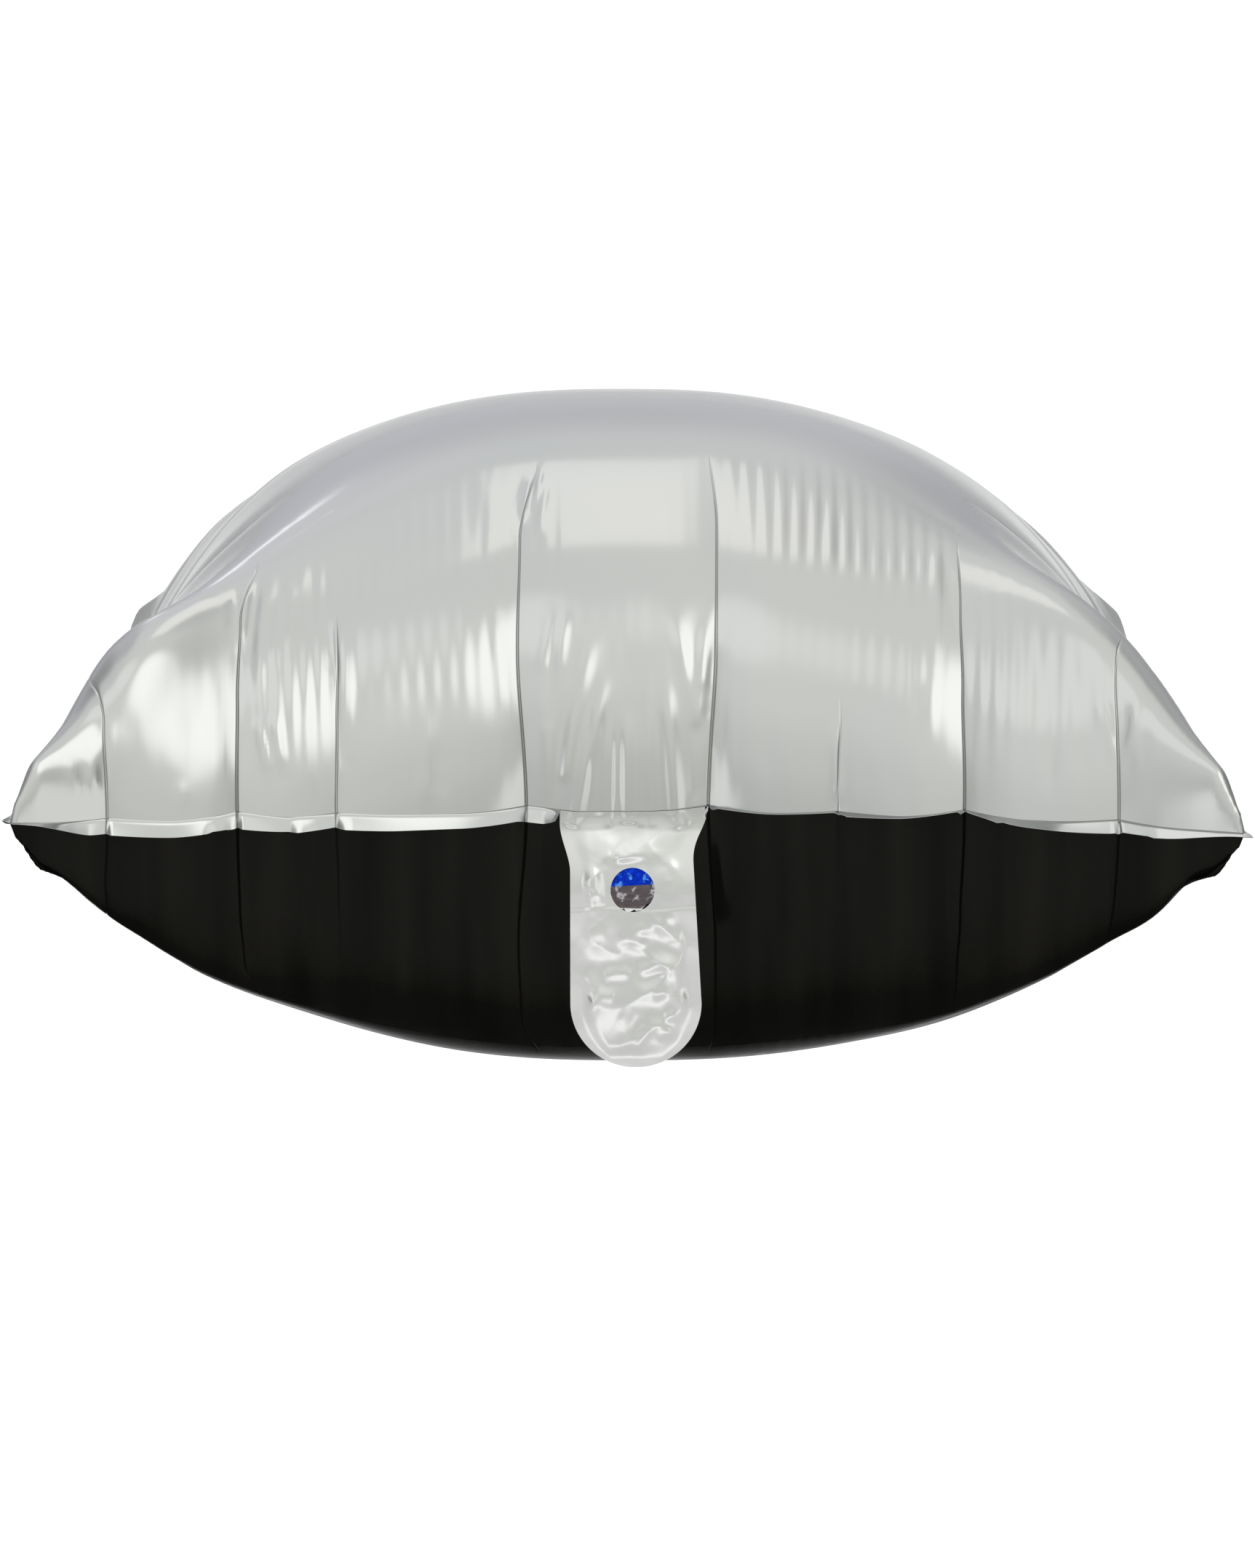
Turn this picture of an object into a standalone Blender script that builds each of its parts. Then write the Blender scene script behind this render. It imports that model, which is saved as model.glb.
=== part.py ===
"""Square foil balloon with a hanging filling tail. Metres, +Z up, the tail's edge towards -Y.

Two square films, one silver and one black, are welded together along a narrow flange. Gas
makes the pair into a pillow whose edges draw in and gather into pleats. The tail is two more
plies of the same films with a flat valve between them, and it hangs from the near edge. The
origin is the centre of the pillow, at the height of the weld.
"""

import math

import bmesh
import bpy
from mathutils import Vector

# The pillow, for a film whose flat side is 457 mm (18 inches).
FILM_HALF = 0.2285
CORNER_TAKE_UP = 0.0176
SIDE_TAKE_UP = 0.0317
END_TAKE_UP = 0.0486
PLAN_POWER = 3.1
EDGE_POWER = 1.46
CROWN_POWER = 2.6
CORNER_FULLNESS = 1.72
BACK_HEIGHT = 0.1293
FRONT_HEIGHT = 0.1220
WALL = 0.003
MESH_GAP = 0.0003
HALF_GAP = MESH_GAP / 2

# The ridge that runs from each corner towards the crown.
RIDGE_RISE = 0.0080
RIDGE_PLACE = 0.73
RIDGE_REACH = 0.188
RIDGE_HALF = 0.147

# How far each corner of the weld curls up, by its u and v.
CURL_REACH = 0.38
CORNER_CURLS = {(-1, -1): 0.0060, (1, -1): -0.0015, (-1, 1): 0.0020, (1, 1): -0.0025}

# The welded flange round the pillow: each ply of it, level up to a knee and then leaning.
FLANGE_WIDTH = 0.006
FLANGE_KNEE = 0.0016
FLANGE_PLY = 0.0006

# How far the flange leans down, in degrees, at places along each edge from -1 to 1.
FLANGE_LEANS = {
    "near": ((-1, -45), (-0.9, -20), (-0.7, 58), (-0.2, 58), (-0.13, 0), (0.6, 0), (0.8, 50), (1, 35)),
    "far": ((-1, 20), (-0.7, -30), (-0.1, -20), (0.3, 40), (0.8, 45), (1, 10)),
    "left": ((-1, -45), (-0.8, 30), (0.1, 45), (0.5, -10), (1, 20)),
    "right": ((-1, 35), (-0.6, -15), (0.0, -35), (0.5, 25), (1, 10)),
}

# Pleats of each edge: place along the edge from -1 to 1, depth in metres, half width in the
# same measure as the place, and how far the crease runs into the panel, edge 0 to centre 1.
PLEAT_FIELDS = ("place", "depth", "half", "reach")
PLEATS = {
    "near": (
        (-0.85, 0.0035, 0.045, 0.22),
        (-0.64, 0.0070, 0.055, 0.40),
        (-0.47, 0.0035, 0.045, 0.34),
        (-0.17, 0.0060, 0.045, 0.62),
        (0.16, 0.0060, 0.045, 0.62),
        (0.55, 0.0070, 0.055, 0.46),
        (0.80, 0.0050, 0.045, 0.30),
    ),
    "far": (
        (-0.64, 0.0060, 0.055, 0.40),
        (-0.17, 0.0070, 0.045, 0.60),
        (0.16, 0.0040, 0.045, 0.40),
        (0.55, 0.0070, 0.055, 0.50),
        (0.80, 0.0040, 0.045, 0.25),
    ),
    "left": (
        (-0.72, 0.0050, 0.050, 0.30),
        (-0.28, 0.0070, 0.055, 0.50),
        (0.22, 0.0070, 0.055, 0.50),
        (0.66, 0.0060, 0.050, 0.35),
    ),
    "right": (
        (-0.72, 0.0050, 0.050, 0.30),
        (-0.28, 0.0060, 0.055, 0.45),
        (0.22, 0.0070, 0.055, 0.50),
        (0.66, 0.0060, 0.050, 0.35),
    ),
}
WIDEST_GRID_STEP = 0.12
NEXT_TO_WELD = 0.955

# The tail, hanging at rest from a fold line that lies just outside the weld.
TAIL_X = 0.0022
TAIL_HALF = 0.0234
TAIL_NECK_HALF = 0.0218
TAIL_NECK_DROP = 0.016
TAIL_ROOT_HALF = 0.0252
TAIL_LENGTH = 0.0924
TAIL_PLY = 0.0005
TAIL_POCKET_RISE = 0.0004
TAIL_BORDER = 0.004
TAIL_TOP = 0.0006
TAIL_SIDE_CLEARANCE = 0.0010
FOLD_CLEARANCE = 0.0013
NOTCH_WIDTH = 0.0032
HOLE_RADIUS = 0.0078
HOLE_DROP = 0.0282
HOLE_SIDES = 40
VALVE_HALF = 0.0150
VALVE_FILM = 0.0003
VALVE_SPLIT_DROP = 0.0266
VALVE_END_DROP = 0.0520
ROUND_END_STEPS = 20
FLARE_STEPS = 4

SILVER = ("silver_foil", (0.72, 0.72, 0.73), 1.0, 0.28)
BLACK = ("black_foil", (0.006, 0.006, 0.006), 0.0, 0.22)
BLUE = ("valve_blue", (0.01, 0.07, 0.62), 0.6, 0.25)
GREY = ("valve_clear", (0.30, 0.28, 0.30), 0.9, 0.18)


def clear_scene():
    for thing in list(bpy.data.objects):
        bpy.data.objects.remove(thing)


def material(name, colour, metallic, roughness):
    made = bpy.data.materials.get(name)
    if made:
        return made
    made = bpy.data.materials.new(name)
    made.use_nodes = True
    shader = made.node_tree.nodes["Principled BSDF"]
    shader.inputs["Base Color"].default_value = (*colour, 1.0)
    shader.inputs["Metallic"].default_value = metallic
    shader.inputs["Roughness"].default_value = roughness
    return made


def add_object(name, bm, finish, parent=None):
    """An object of its own mesh, with its faces turned outwards and its material set."""
    bmesh.ops.recalc_face_normals(bm, faces=bm.faces)
    mesh = bpy.data.meshes.new(name)
    bm.to_mesh(mesh)
    bm.free()
    mesh.shade_smooth()
    mesh.set_sharp_from_angle(angle=math.radians(40))
    mesh.materials.append(material(*finish))
    made = bpy.data.objects.new(name, mesh)
    bpy.context.scene.collection.objects.link(made)
    made.parent = parent
    return made


def crown(place):
    return 1.0 - abs(place) ** CROWN_POWER


def ridge(u, v):
    """The ridge's share of its full rise: all along each diagonal, none at the weld."""
    outer = max(abs(u), abs(v))
    across = math.exp(-(((abs(u) - abs(v)) / RIDGE_HALF) ** 2))
    along = math.exp(-(((outer - RIDGE_PLACE) / RIDGE_REACH) ** 2))
    return across * along * (1.0 - outer**16)


def corner_curl(u, v):
    """How far the curled corners lift a place on the film."""
    lift = 0.0
    for (corner_u, corner_v), rise in CORNER_CURLS.items():
        away = math.hypot(u - corner_u, v - corner_v) / CURL_REACH
        lift += rise * max(0.0, 1.0 - away) ** 2
    return lift


def pillow(u, v, height, inset=0.0):
    """A point of the smooth pillow. u and v run from -1 to 1 over the flat film, and inset
    moves the whole surface inwards."""
    half = FILM_HALF - inset
    side_pull = SIDE_TAKE_UP * abs(u) ** PLAN_POWER * (1.0 - abs(v) ** EDGE_POWER)
    end_pull = END_TAKE_UP * abs(v) ** PLAN_POWER * (1.0 - abs(u) ** EDGE_POWER)
    x = u * (half - side_pull - CORNER_TAKE_UP * v * v)
    y = v * (half - end_pull - CORNER_TAKE_UP * u * u)
    across, along = crown(u), crown(v)
    union = across + along - across * along
    lift = across * along / union**CORNER_FULLNESS if union > 1e-9 else 0.0
    up = 1.0 if height > 0 else -1.0
    risen = (height - up * inset) * lift + up * RIDGE_RISE * ridge(u, v)
    return Vector((x, y, risen + corner_curl(u, v)))


def outward(u, v, height):
    """The smooth pillow's outward direction, level where it meets the weld."""
    step = 0.01
    u0, u1 = max(u - step, -1.0), min(u + step, 1.0)
    v0, v1 = max(v - step, -1.0), min(v + step, 1.0)
    along_u = pillow(u1, v, height) - pillow(u0, v, height)
    along_v = pillow(u, v1, height) - pillow(u, v0, height)
    normal = along_u.cross(along_v) * (1.0 if height > 0 else -1.0)
    normal.z *= 1.0 - max(abs(u), abs(v)) ** 12
    return normal.normalized() if normal.length > 1e-12 else Vector((0.0, 0.0, 0.0))


def pleat_depth(u, v):
    """How far the gathered film is drawn in at a place on it."""
    drawn = 0.0
    for edge, along, inwards in (
        ("near", u, (1.0 + v)),
        ("far", u, (1.0 - v)),
        ("left", v, (1.0 + u)),
        ("right", v, (1.0 - u)),
    ):
        for row in PLEATS[edge]:
            pleat = dict(zip(PLEAT_FIELDS, row))
            off_centre = abs(along - pleat["place"]) / pleat["half"]
            fade = 1.0 - inwards / pleat["reach"]
            if off_centre < 1.0 and fade > 0.0:
                drawn += pleat["depth"] * (1.0 - off_centre) * fade**0.8
    return drawn


def film_point(u, v, height, inset=0.0):
    return pillow(u, v, height, inset) - outward(u, v, height) * pleat_depth(u, v)


def grid_places(edges, extra=()):
    """Places of the grid lines: through each pleat's valley and its two shoulders, and
    between them wherever a step would be wide."""
    places = {-1.0, -NEXT_TO_WELD, NEXT_TO_WELD, 1.0, *extra}
    for edge in edges:
        for row in PLEATS[edge]:
            pleat = dict(zip(PLEAT_FIELDS, row))
            for side in (-1, 0, 1):
                places.add(round(pleat["place"] + side * pleat["half"], 4))
    filled = []
    ordered = sorted(places)
    for low, high in zip(ordered, ordered[1:]):
        steps = max(1, math.ceil((high - low) / WIDEST_GRID_STEP))
        filled += [low + (high - low) * k / steps for k in range(steps)]
    return filled + [1.0]


def tail_place(x):
    """The place along the near edge whose weld lies at x."""
    return x / (FILM_HALF - CORNER_TAKE_UP)


NOTCH_LEFT = tail_place(TAIL_X - TAIL_ROOT_HALF - TAIL_SIDE_CLEARANCE)
NOTCH_RIGHT = tail_place(TAIL_X + TAIL_ROOT_HALF + TAIL_SIDE_CLEARANCE)
NOTCH_Y = pillow(NOTCH_RIGHT, -1.0, BACK_HEIGHT).y - MESH_GAP - NOTCH_WIDTH
FOLD_Y = NOTCH_Y - FOLD_CLEARANCE
COLUMNS = grid_places(("near", "far"), (NOTCH_LEFT, NOTCH_RIGHT))
ROWS = grid_places(("left", "right"))


def grid_surface(bm, place):
    """A grid of vertices over the whole film, and its faces, creased towards the corners."""
    verts = [[bm.verts.new(place(u, v)) for v in ROWS] for u in COLUMNS]
    for i in range(len(COLUMNS) - 1):
        for j in range(len(ROWS) - 1):
            a, b, c, d = verts[i][j], verts[i + 1][j], verts[i + 1][j + 1], verts[i][j + 1]
            rising = (COLUMNS[i] + COLUMNS[i + 1]) * (ROWS[j] + ROWS[j + 1]) > 0
            halves = ((a, b, c), (a, c, d)) if rising else ((a, b, d), (b, c, d))
            for half in halves:
                bm.faces.new(half)
    return verts


def border(grid):
    """The border of a grid as one loop, starting at the near left corner."""
    last_i, last_j = len(grid) - 1, len(grid[0]) - 1
    loop = [grid[i][0] for i in range(last_i)]
    loop += [grid[last_i][j] for j in range(last_j)]
    loop += [grid[i][last_j] for i in range(last_i, 0, -1)]
    loop += [grid[0][j] for j in range(last_j, 0, -1)]
    return loop


def ring_faces(bm, first, second):
    """A band of triangles between two loops."""
    for k in range(len(first)):
        after = (k + 1) % len(first)
        bm.faces.new((first[k], first[after], second[after]))
        bm.faces.new((first[k], second[after], second[k]))


def make_panel(name, height, finish):
    """One half of the envelope: a pleated shell that is open at the weld."""
    side = 1.0 if height > 0 else -1.0
    seat = Vector((0.0, 0.0, side * HALF_GAP))
    bm = bmesh.new()
    outer = grid_surface(bm, lambda u, v: film_point(u, v, height) + seat)
    inner = grid_surface(bm, lambda u, v: film_point(u, v, height, WALL) + seat)
    ring_faces(bm, border(outer), border(inner))
    return add_object(name, bm, finish)


def flange_way(u, v):
    """The direction in plan in which the flange stands out, square to each edge and
    diagonal at the corners."""
    return Vector((
        math.copysign(1.0, u) if abs(u) == 1.0 else 0.0,
        math.copysign(1.0, v) if abs(v) == 1.0 else 0.0,
        0.0,
    ))


def flange_lean(u, v):
    """How far the flange leans down at a place on the weld, in radians."""
    if abs(v) == 1.0:
        table, along = FLANGE_LEANS["near" if v < 0 else "far"], u
    else:
        table, along = FLANGE_LEANS["left" if u < 0 else "right"], v
    for (low, low_lean), (high, high_lean) in zip(table, table[1:]):
        if low <= along <= high:
            share = (along - low) / (high - low)
            return math.radians(low_lean + (high_lean - low_lean) * share)
    return 0.0


def flange_section(u, v):
    """The flange's mid line at a place on the weld, as three steps from the panel outwards,
    each with how far out and up it is and the mid line's way up there."""
    if v == -1.0 and NOTCH_LEFT <= u <= NOTCH_RIGHT:
        end = film_point(u, v, BACK_HEIGHT).y - NOTCH_Y
        return [(out, 0.0, 0.0, 1.0) for out in (MESH_GAP, (MESH_GAP + end) / 2, end)]
    lean = flange_lean(u, v)
    knee = MESH_GAP + FLANGE_KNEE
    rest = FLANGE_WIDTH - FLANGE_KNEE
    half = lean / 2
    return [
        (MESH_GAP, 0.0, 0.0, 1.0),
        (knee, 0.0, math.tan(half), 1.0),
        (knee + rest * math.cos(lean), -rest * math.sin(lean), math.sin(lean), math.cos(lean)),
    ]


def make_flange(name, side, finish):
    """One ply of the welded flange, a ring that narrows to a notch where the tail hangs."""
    bm = bmesh.new()
    places = border([[(u, v) for v in ROWS] for u in COLUMNS])
    loops = {}
    for level in (HALF_GAP, HALF_GAP + FLANGE_PLY):
        for step in range(3):
            loop = []
            for u, v in places:
                out, rise, normal_out, normal_up = flange_section(u, v)[step]
                point = film_point(u, v, BACK_HEIGHT)
                point += flange_way(u, v) * (out + side * level * normal_out)
                point.z += rise + side * level * normal_up
                loop.append(bm.verts.new(point))
            loops[level, step] = loop
    low, high = HALF_GAP, HALF_GAP + FLANGE_PLY
    round_the_ply = [(low, 0), (low, 1), (low, 2), (high, 2), (high, 1), (high, 0), (low, 0)]
    for first, second in zip(round_the_ply, round_the_ply[1:]):
        ring_faces(bm, loops[first], loops[second])
    return add_object(name, bm, finish)


def tail_outline(inset=0.0):
    """The tail's outline in x and z about the fold line: a flared root, a neck, sides that
    widen downwards and a half round end."""
    half = TAIL_HALF - inset
    top = TAIL_TOP - inset
    centre = -(TAIL_LENGTH - TAIL_HALF)
    right = []
    for k in range(FLARE_STEPS + 1):
        share = k / FLARE_STEPS
        flare = (TAIL_ROOT_HALF - TAIL_NECK_HALF) * (1.0 - math.sin(share * math.pi / 2))
        right.append((TAIL_NECK_HALF - inset + flare, top - TAIL_NECK_DROP * share))
    for k in range(ROUND_END_STEPS // 2):
        turn = math.pi * k / ROUND_END_STEPS
        right.append((half * math.cos(turn), centre - half * math.sin(turn)))
    left = [(-x, z) for x, z in reversed(right)]
    return right + [(0.0, centre - half)] + left


def make_tail_ply(name, side, finish, parent):
    """One ply of the tail. Its border lies by the other ply, and the pocket inside the border
    stands out by the valve's thickness. side is -1 for the ply that faces away."""
    bm = bmesh.new()
    near_face = side * HALF_GAP
    raised = side * (HALF_GAP + TAIL_POCKET_RISE)
    thick = side * TAIL_PLY
    outer, inner = tail_outline(), tail_outline(TAIL_BORDER)
    loops = [
        [bm.verts.new((x, y, z)) for x, z in outline]
        for outline, y in (
            (inner, raised),
            (inner, near_face),
            (outer, near_face),
            (outer, near_face + thick),
            (inner, near_face + thick),
            (inner, raised + thick),
        )
    ]
    for first, second in zip(loops, loops[1:]):
        ring_faces(bm, first, second)
    bm.faces.new(loops[0])
    bm.faces.new(loops[-1])
    return add_object(name, bm, finish, parent)


def make_strip(name, top, bottom, finish, parent):
    """A flat strip of the valve, between the two plies."""
    bm = bmesh.new()
    bmesh.ops.create_cube(bm, size=1.0)
    bmesh.ops.scale(bm, verts=bm.verts, vec=(2 * VALVE_HALF, VALVE_FILM, top - bottom))
    bmesh.ops.translate(bm, verts=bm.verts, vec=(0.0, 0.0, (top + bottom) / 2))
    return add_object(name, bm, finish, parent)


def cut_hole(ply, parent):
    """Cuts the round filling hole through the silver ply."""
    bm = bmesh.new()
    bmesh.ops.create_cone(
        bm,
        cap_ends=True,
        segments=HOLE_SIDES,
        radius1=HOLE_RADIUS,
        radius2=HOLE_RADIUS,
        depth=8 * TAIL_PLY,
    )
    cutter = add_object("hole_cutter", bm, SILVER, parent)
    cutter.rotation_euler = (math.pi / 2, 0.0, 0.0)
    cutter.location = (0.0, -2 * TAIL_PLY, -HOLE_DROP)
    cutter.hide_render = True
    cutter.display_type = "WIRE"
    cut = ply.modifiers.new("filling_hole", "BOOLEAN")
    cut.object = cutter
    cut.solver = "EXACT"


def main():
    clear_scene()
    make_panel("back_panel", BACK_HEIGHT, SILVER)
    make_panel("front_panel", -FRONT_HEIGHT, BLACK)
    make_flange("back_seal_flange", 1.0, SILVER)
    make_flange("front_seal_flange", -1.0, BLACK)

    fold = bpy.data.objects.new("tail_fold", None)
    bpy.context.scene.collection.objects.link(fold)
    fold.location = (TAIL_X, FOLD_Y, 0.0)
    back_ply = make_tail_ply("tail_back_ply", -1.0, SILVER, fold)
    make_tail_ply("tail_front_ply", 1.0, BLACK, fold)
    cut_hole(back_ply, fold)
    make_strip("valve_blue_film", -TAIL_BORDER, -VALVE_SPLIT_DROP, BLUE, fold)
    clear_top = -(VALVE_SPLIT_DROP + MESH_GAP)
    make_strip("valve_clear_film", clear_top, -VALVE_END_DROP, GREY, fold)


main()
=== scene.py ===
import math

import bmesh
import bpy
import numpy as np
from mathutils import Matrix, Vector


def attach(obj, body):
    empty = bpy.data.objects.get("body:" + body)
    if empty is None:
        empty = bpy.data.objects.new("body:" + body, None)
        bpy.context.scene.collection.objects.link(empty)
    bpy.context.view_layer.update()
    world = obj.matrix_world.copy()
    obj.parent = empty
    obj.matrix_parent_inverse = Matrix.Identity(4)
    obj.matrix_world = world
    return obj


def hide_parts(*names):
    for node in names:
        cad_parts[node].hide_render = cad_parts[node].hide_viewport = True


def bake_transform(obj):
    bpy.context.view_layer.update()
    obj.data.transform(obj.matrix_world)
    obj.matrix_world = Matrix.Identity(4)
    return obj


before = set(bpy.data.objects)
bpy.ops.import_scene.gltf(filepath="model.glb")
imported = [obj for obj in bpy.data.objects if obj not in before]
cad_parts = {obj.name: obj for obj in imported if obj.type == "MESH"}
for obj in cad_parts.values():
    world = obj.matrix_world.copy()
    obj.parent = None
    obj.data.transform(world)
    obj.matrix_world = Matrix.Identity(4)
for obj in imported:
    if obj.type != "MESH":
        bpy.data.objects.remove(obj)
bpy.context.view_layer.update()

# The looks of the square foil balloon: two pleated films, their welded flange, and a filling
# tail with its valve. Sizes are in metres. A place on a film is (u, v), each from -1 to 1
# over the flat square, with the tail's edge at v = -1. A pair of numbers that eases something
# is where the change starts and how far it runs.

SEED = 7
FACET_SEED = SEED + 3
RIPPLE_SEED = SEED + 7
CRUMPLE_SEED = SEED + 20
BLUE_SEED = 31
GREY_SEED = 41
TINY = 1e-9
SHORTEST = 1e-12
RIM_MARGIN = 1e-6

# The pillow, as the solids have it.
FILM_HALF = 0.2285
CORNER_TAKE_UP = 0.0176
SIDE_TAKE_UP = 0.0317
END_TAKE_UP = 0.0486
PLAN_POWER = 3.1
EDGE_POWER = 1.46
CROWN_POWER = 2.6
CORNER_FULLNESS = 1.72
BACK_HEIGHT = 0.1293
FRONT_HEIGHT = 0.1220
RIDGE_RISE = 0.0080
RIDGE_PLACE = 0.73
RIDGE_REACH = 0.188
RIDGE_HALF = 0.147
WELD_FADE = 16
NORMAL_FADE = 12
NORMAL_STEP = 0.01
CURL_REACH = 0.38
CORNER_CURLS = {(-1, -1): 0.0008, (1, -1): -0.0028, (-1, 1): -0.0020, (1, 1): -0.0040}

# Lobes of each film where it bulges or sinks from the even pillow: u, v, rise, reach in u,
# reach in v.
SILVER_LOBES = (
    (-0.940, 0.90, -0.0022, 0.070, 0.12),
    (-0.780, 0.66, 0.0030, 0.100, 0.16),
    (-0.620, 0.33, 0.0022, 0.150, 0.28),
    (0.400, 0.20, -0.0017, 0.200, 0.30),
    (0.890, 0.84, -0.0018, 0.070, 0.10),
)
BLACK_LOBES = (
    (0.530, -0.45, 0.0024, 0.160, 0.28),
    (-0.880, -0.88, -0.0016, 0.090, 0.11),
    (0.940, -0.93, -0.0022, 0.060, 0.08),
)
LOBE_FADE = 40

# Long lobes of each film along its near diagonals: u, v, rise, reach along the diagonal and
# across it.
SILVER_DIAGONALS = (
    (-0.814, -0.808, 0.0095, 0.135, 0.086),
    (0.790, -0.765, 0.0066, 0.190, 0.085),
)
BLACK_DIAGONALS = (
    (-0.972, -0.972, -0.0062, 0.060, 0.085),
    (-0.868, -0.868, 0.0018, 0.060, 0.100),
    (0.970, -0.970, -0.0072, 0.054, 0.085),
    (0.866, -0.866, 0.0012, 0.065, 0.100),
)

# Both films are drawn out to a point at their corners: how far, and over what reach.
CORNER_POINT = 0.0045
CORNER_POINT_REACH = 0.13
CORNER_POINT_POWER = 1.5
TIP_FLATNESS = 0.55
TIP_REACH = 0.045

# Fine creases of the silver film: from u0, v0 to u1, v1, how far each rises (or sinks, where
# negative) and its half width.
FAN_CREASES = (
    (-0.640, -0.660, -0.652, -0.790, -0.0004, 0.0014),
    (-0.622, -0.665, -0.640, -0.800, 0.0005, 0.0020),
    (-0.604, -0.655, -0.630, -0.840, -0.0004, 0.0018),
    (-0.583, -0.650, -0.615, -0.880, 0.0006, 0.0024),
    (-0.556, -0.660, -0.592, -0.850, 0.0005, 0.0022),
    (-0.530, -0.640, -0.565, -0.820, 0.0004, 0.0024),
    (-0.590, -0.890, -0.572, -0.960, 0.0006, 0.0018),
    (-0.617, -0.900, -0.592, -0.965, 0.0005, 0.0018),
    (-0.492, -0.740, -0.482, -0.850, -0.0006, 0.0016),
    (-0.468, -0.730, -0.466, -0.940, 0.0007, 0.0020),
    (-0.332, -0.880, -0.335, -0.998, 0.0006, 0.0014),
    (-0.230, -0.420, -0.217, -0.750, 0.0004, 0.0014),
    (-0.217, -0.735, -0.196, -0.910, 0.0004, 0.0016),
    (-0.138, -0.430, -0.150, -0.560, 0.0005, 0.0014),
    (-0.155, -0.450, -0.172, -0.590, 0.0005, 0.0014),
    (-0.168, -0.460, -0.186, -0.550, -0.0004, 0.0014),
    (-0.128, -0.470, -0.144, -0.610, 0.0004, 0.0016),
    (-0.203, -0.530, -0.192, -0.660, 0.0004, 0.0014),
    (0.342, -0.890, 0.349, -0.998, 0.0006, 0.0014),
    (0.322, -0.540, 0.329, -0.670, 0.0004, 0.0012),
    (0.507, -0.590, 0.505, -0.830, 0.0005, 0.0014),
    (0.505, -0.820, 0.480, -0.998, 0.0005, 0.0016),
    (0.520, -0.630, 0.540, -0.780, -0.0004, 0.0016),
    (0.802, -0.870, 0.822, -0.940, 0.0003, 0.0020),
    (0.852, -0.875, 0.826, -0.965, 0.0003, 0.0020),
    (0.780, -0.880, 0.808, -0.960, 0.0003, 0.0020),
    (0.832, -0.890, 0.819, -0.950, -0.0002, 0.0018),
    (-0.912, -0.950, -0.869, -0.996, 0.0003, 0.0020),
    (-0.860, -0.910, -0.858, -0.996, 0.0003, 0.0018),
    (-0.880, -0.940, -0.886, -0.988, 0.0003, 0.0020),
    (-0.927, -0.965, -0.899, -0.994, 0.0003, 0.0018),
    (-0.743, -0.970, -0.743, -0.998, 0.0004, 0.0014),
)

# The same for the folds that gather at the tail's root.
ROOT_CREASES = (
    (-0.122, -0.735, -0.140, -0.830, 0.00031, 0.0022),
    (-0.098, -0.745, -0.114, -0.830, 0.00031, 0.0019),
    (-0.052, -0.780, -0.104, -0.960, 0.00040, 0.0024),
    (-0.117, -0.790, -0.134, -0.900, -0.00031, 0.0022),
    (-0.030, -0.835, -0.086, -1.000, 0.00090, 0.0027),
    (-0.090, -0.840, -0.124, -0.990, -0.00037, 0.0022),
    (-0.140, -0.840, -0.126, -0.990, 0.00037, 0.0024),
    (0.062, -0.840, 0.080, -1.000, 0.00090, 0.0028),
    (0.098, -0.800, 0.114, -0.990, -0.00037, 0.0022),
    (0.072, -0.740, 0.112, -0.900, 0.00050, 0.0024),
    (0.130, -0.755, 0.122, -0.890, 0.00037, 0.0024),
    (0.146, -0.700, 0.124, -0.850, 0.00031, 0.0031),
    (0.145, -0.780, 0.132, -0.890, -0.00031, 0.0022),
    (0.000, -0.880, 0.002, -1.000, 0.00085, 0.0024),
    (-0.026, -0.880, -0.030, -1.000, 0.00045, 0.0013),
    (-0.016, -0.890, -0.018, -1.000, -0.00031, 0.0012),
    (0.020, -0.880, 0.022, -1.000, 0.00045, 0.0015),
    (0.036, -0.880, 0.040, -1.000, 0.00040, 0.0017),
    (-0.042, -0.880, -0.048, -1.000, 0.00031, 0.0018),
)

# How a crease is traced on the pillow, over what share of its length it grows, and how much
# of it fades over what share at its other end.
CREASE_POINTS = 7
CREASE_MARGIN = 4
CREASE_GROWTH = 0.45
CREASE_END_FADE = 0.8
CREASE_END_SHARE = 0.25

# Small random creases square to each edge: how many, how far along it they may lie, how near
# to the weld and how far from it they reach, and their slant, rise and half width.
STRAY_CREASES = 30
STRAY_PLACE = 0.93
STRAY_NEAR = (0.004, 0.03)
STRAY_FAR = (0.05, 0.2)
STRAY_SLANT = 0.012
STRAY_RISE = (0.00012, 0.00032)
STRAY_HALF = (0.0010, 0.0022)

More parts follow.
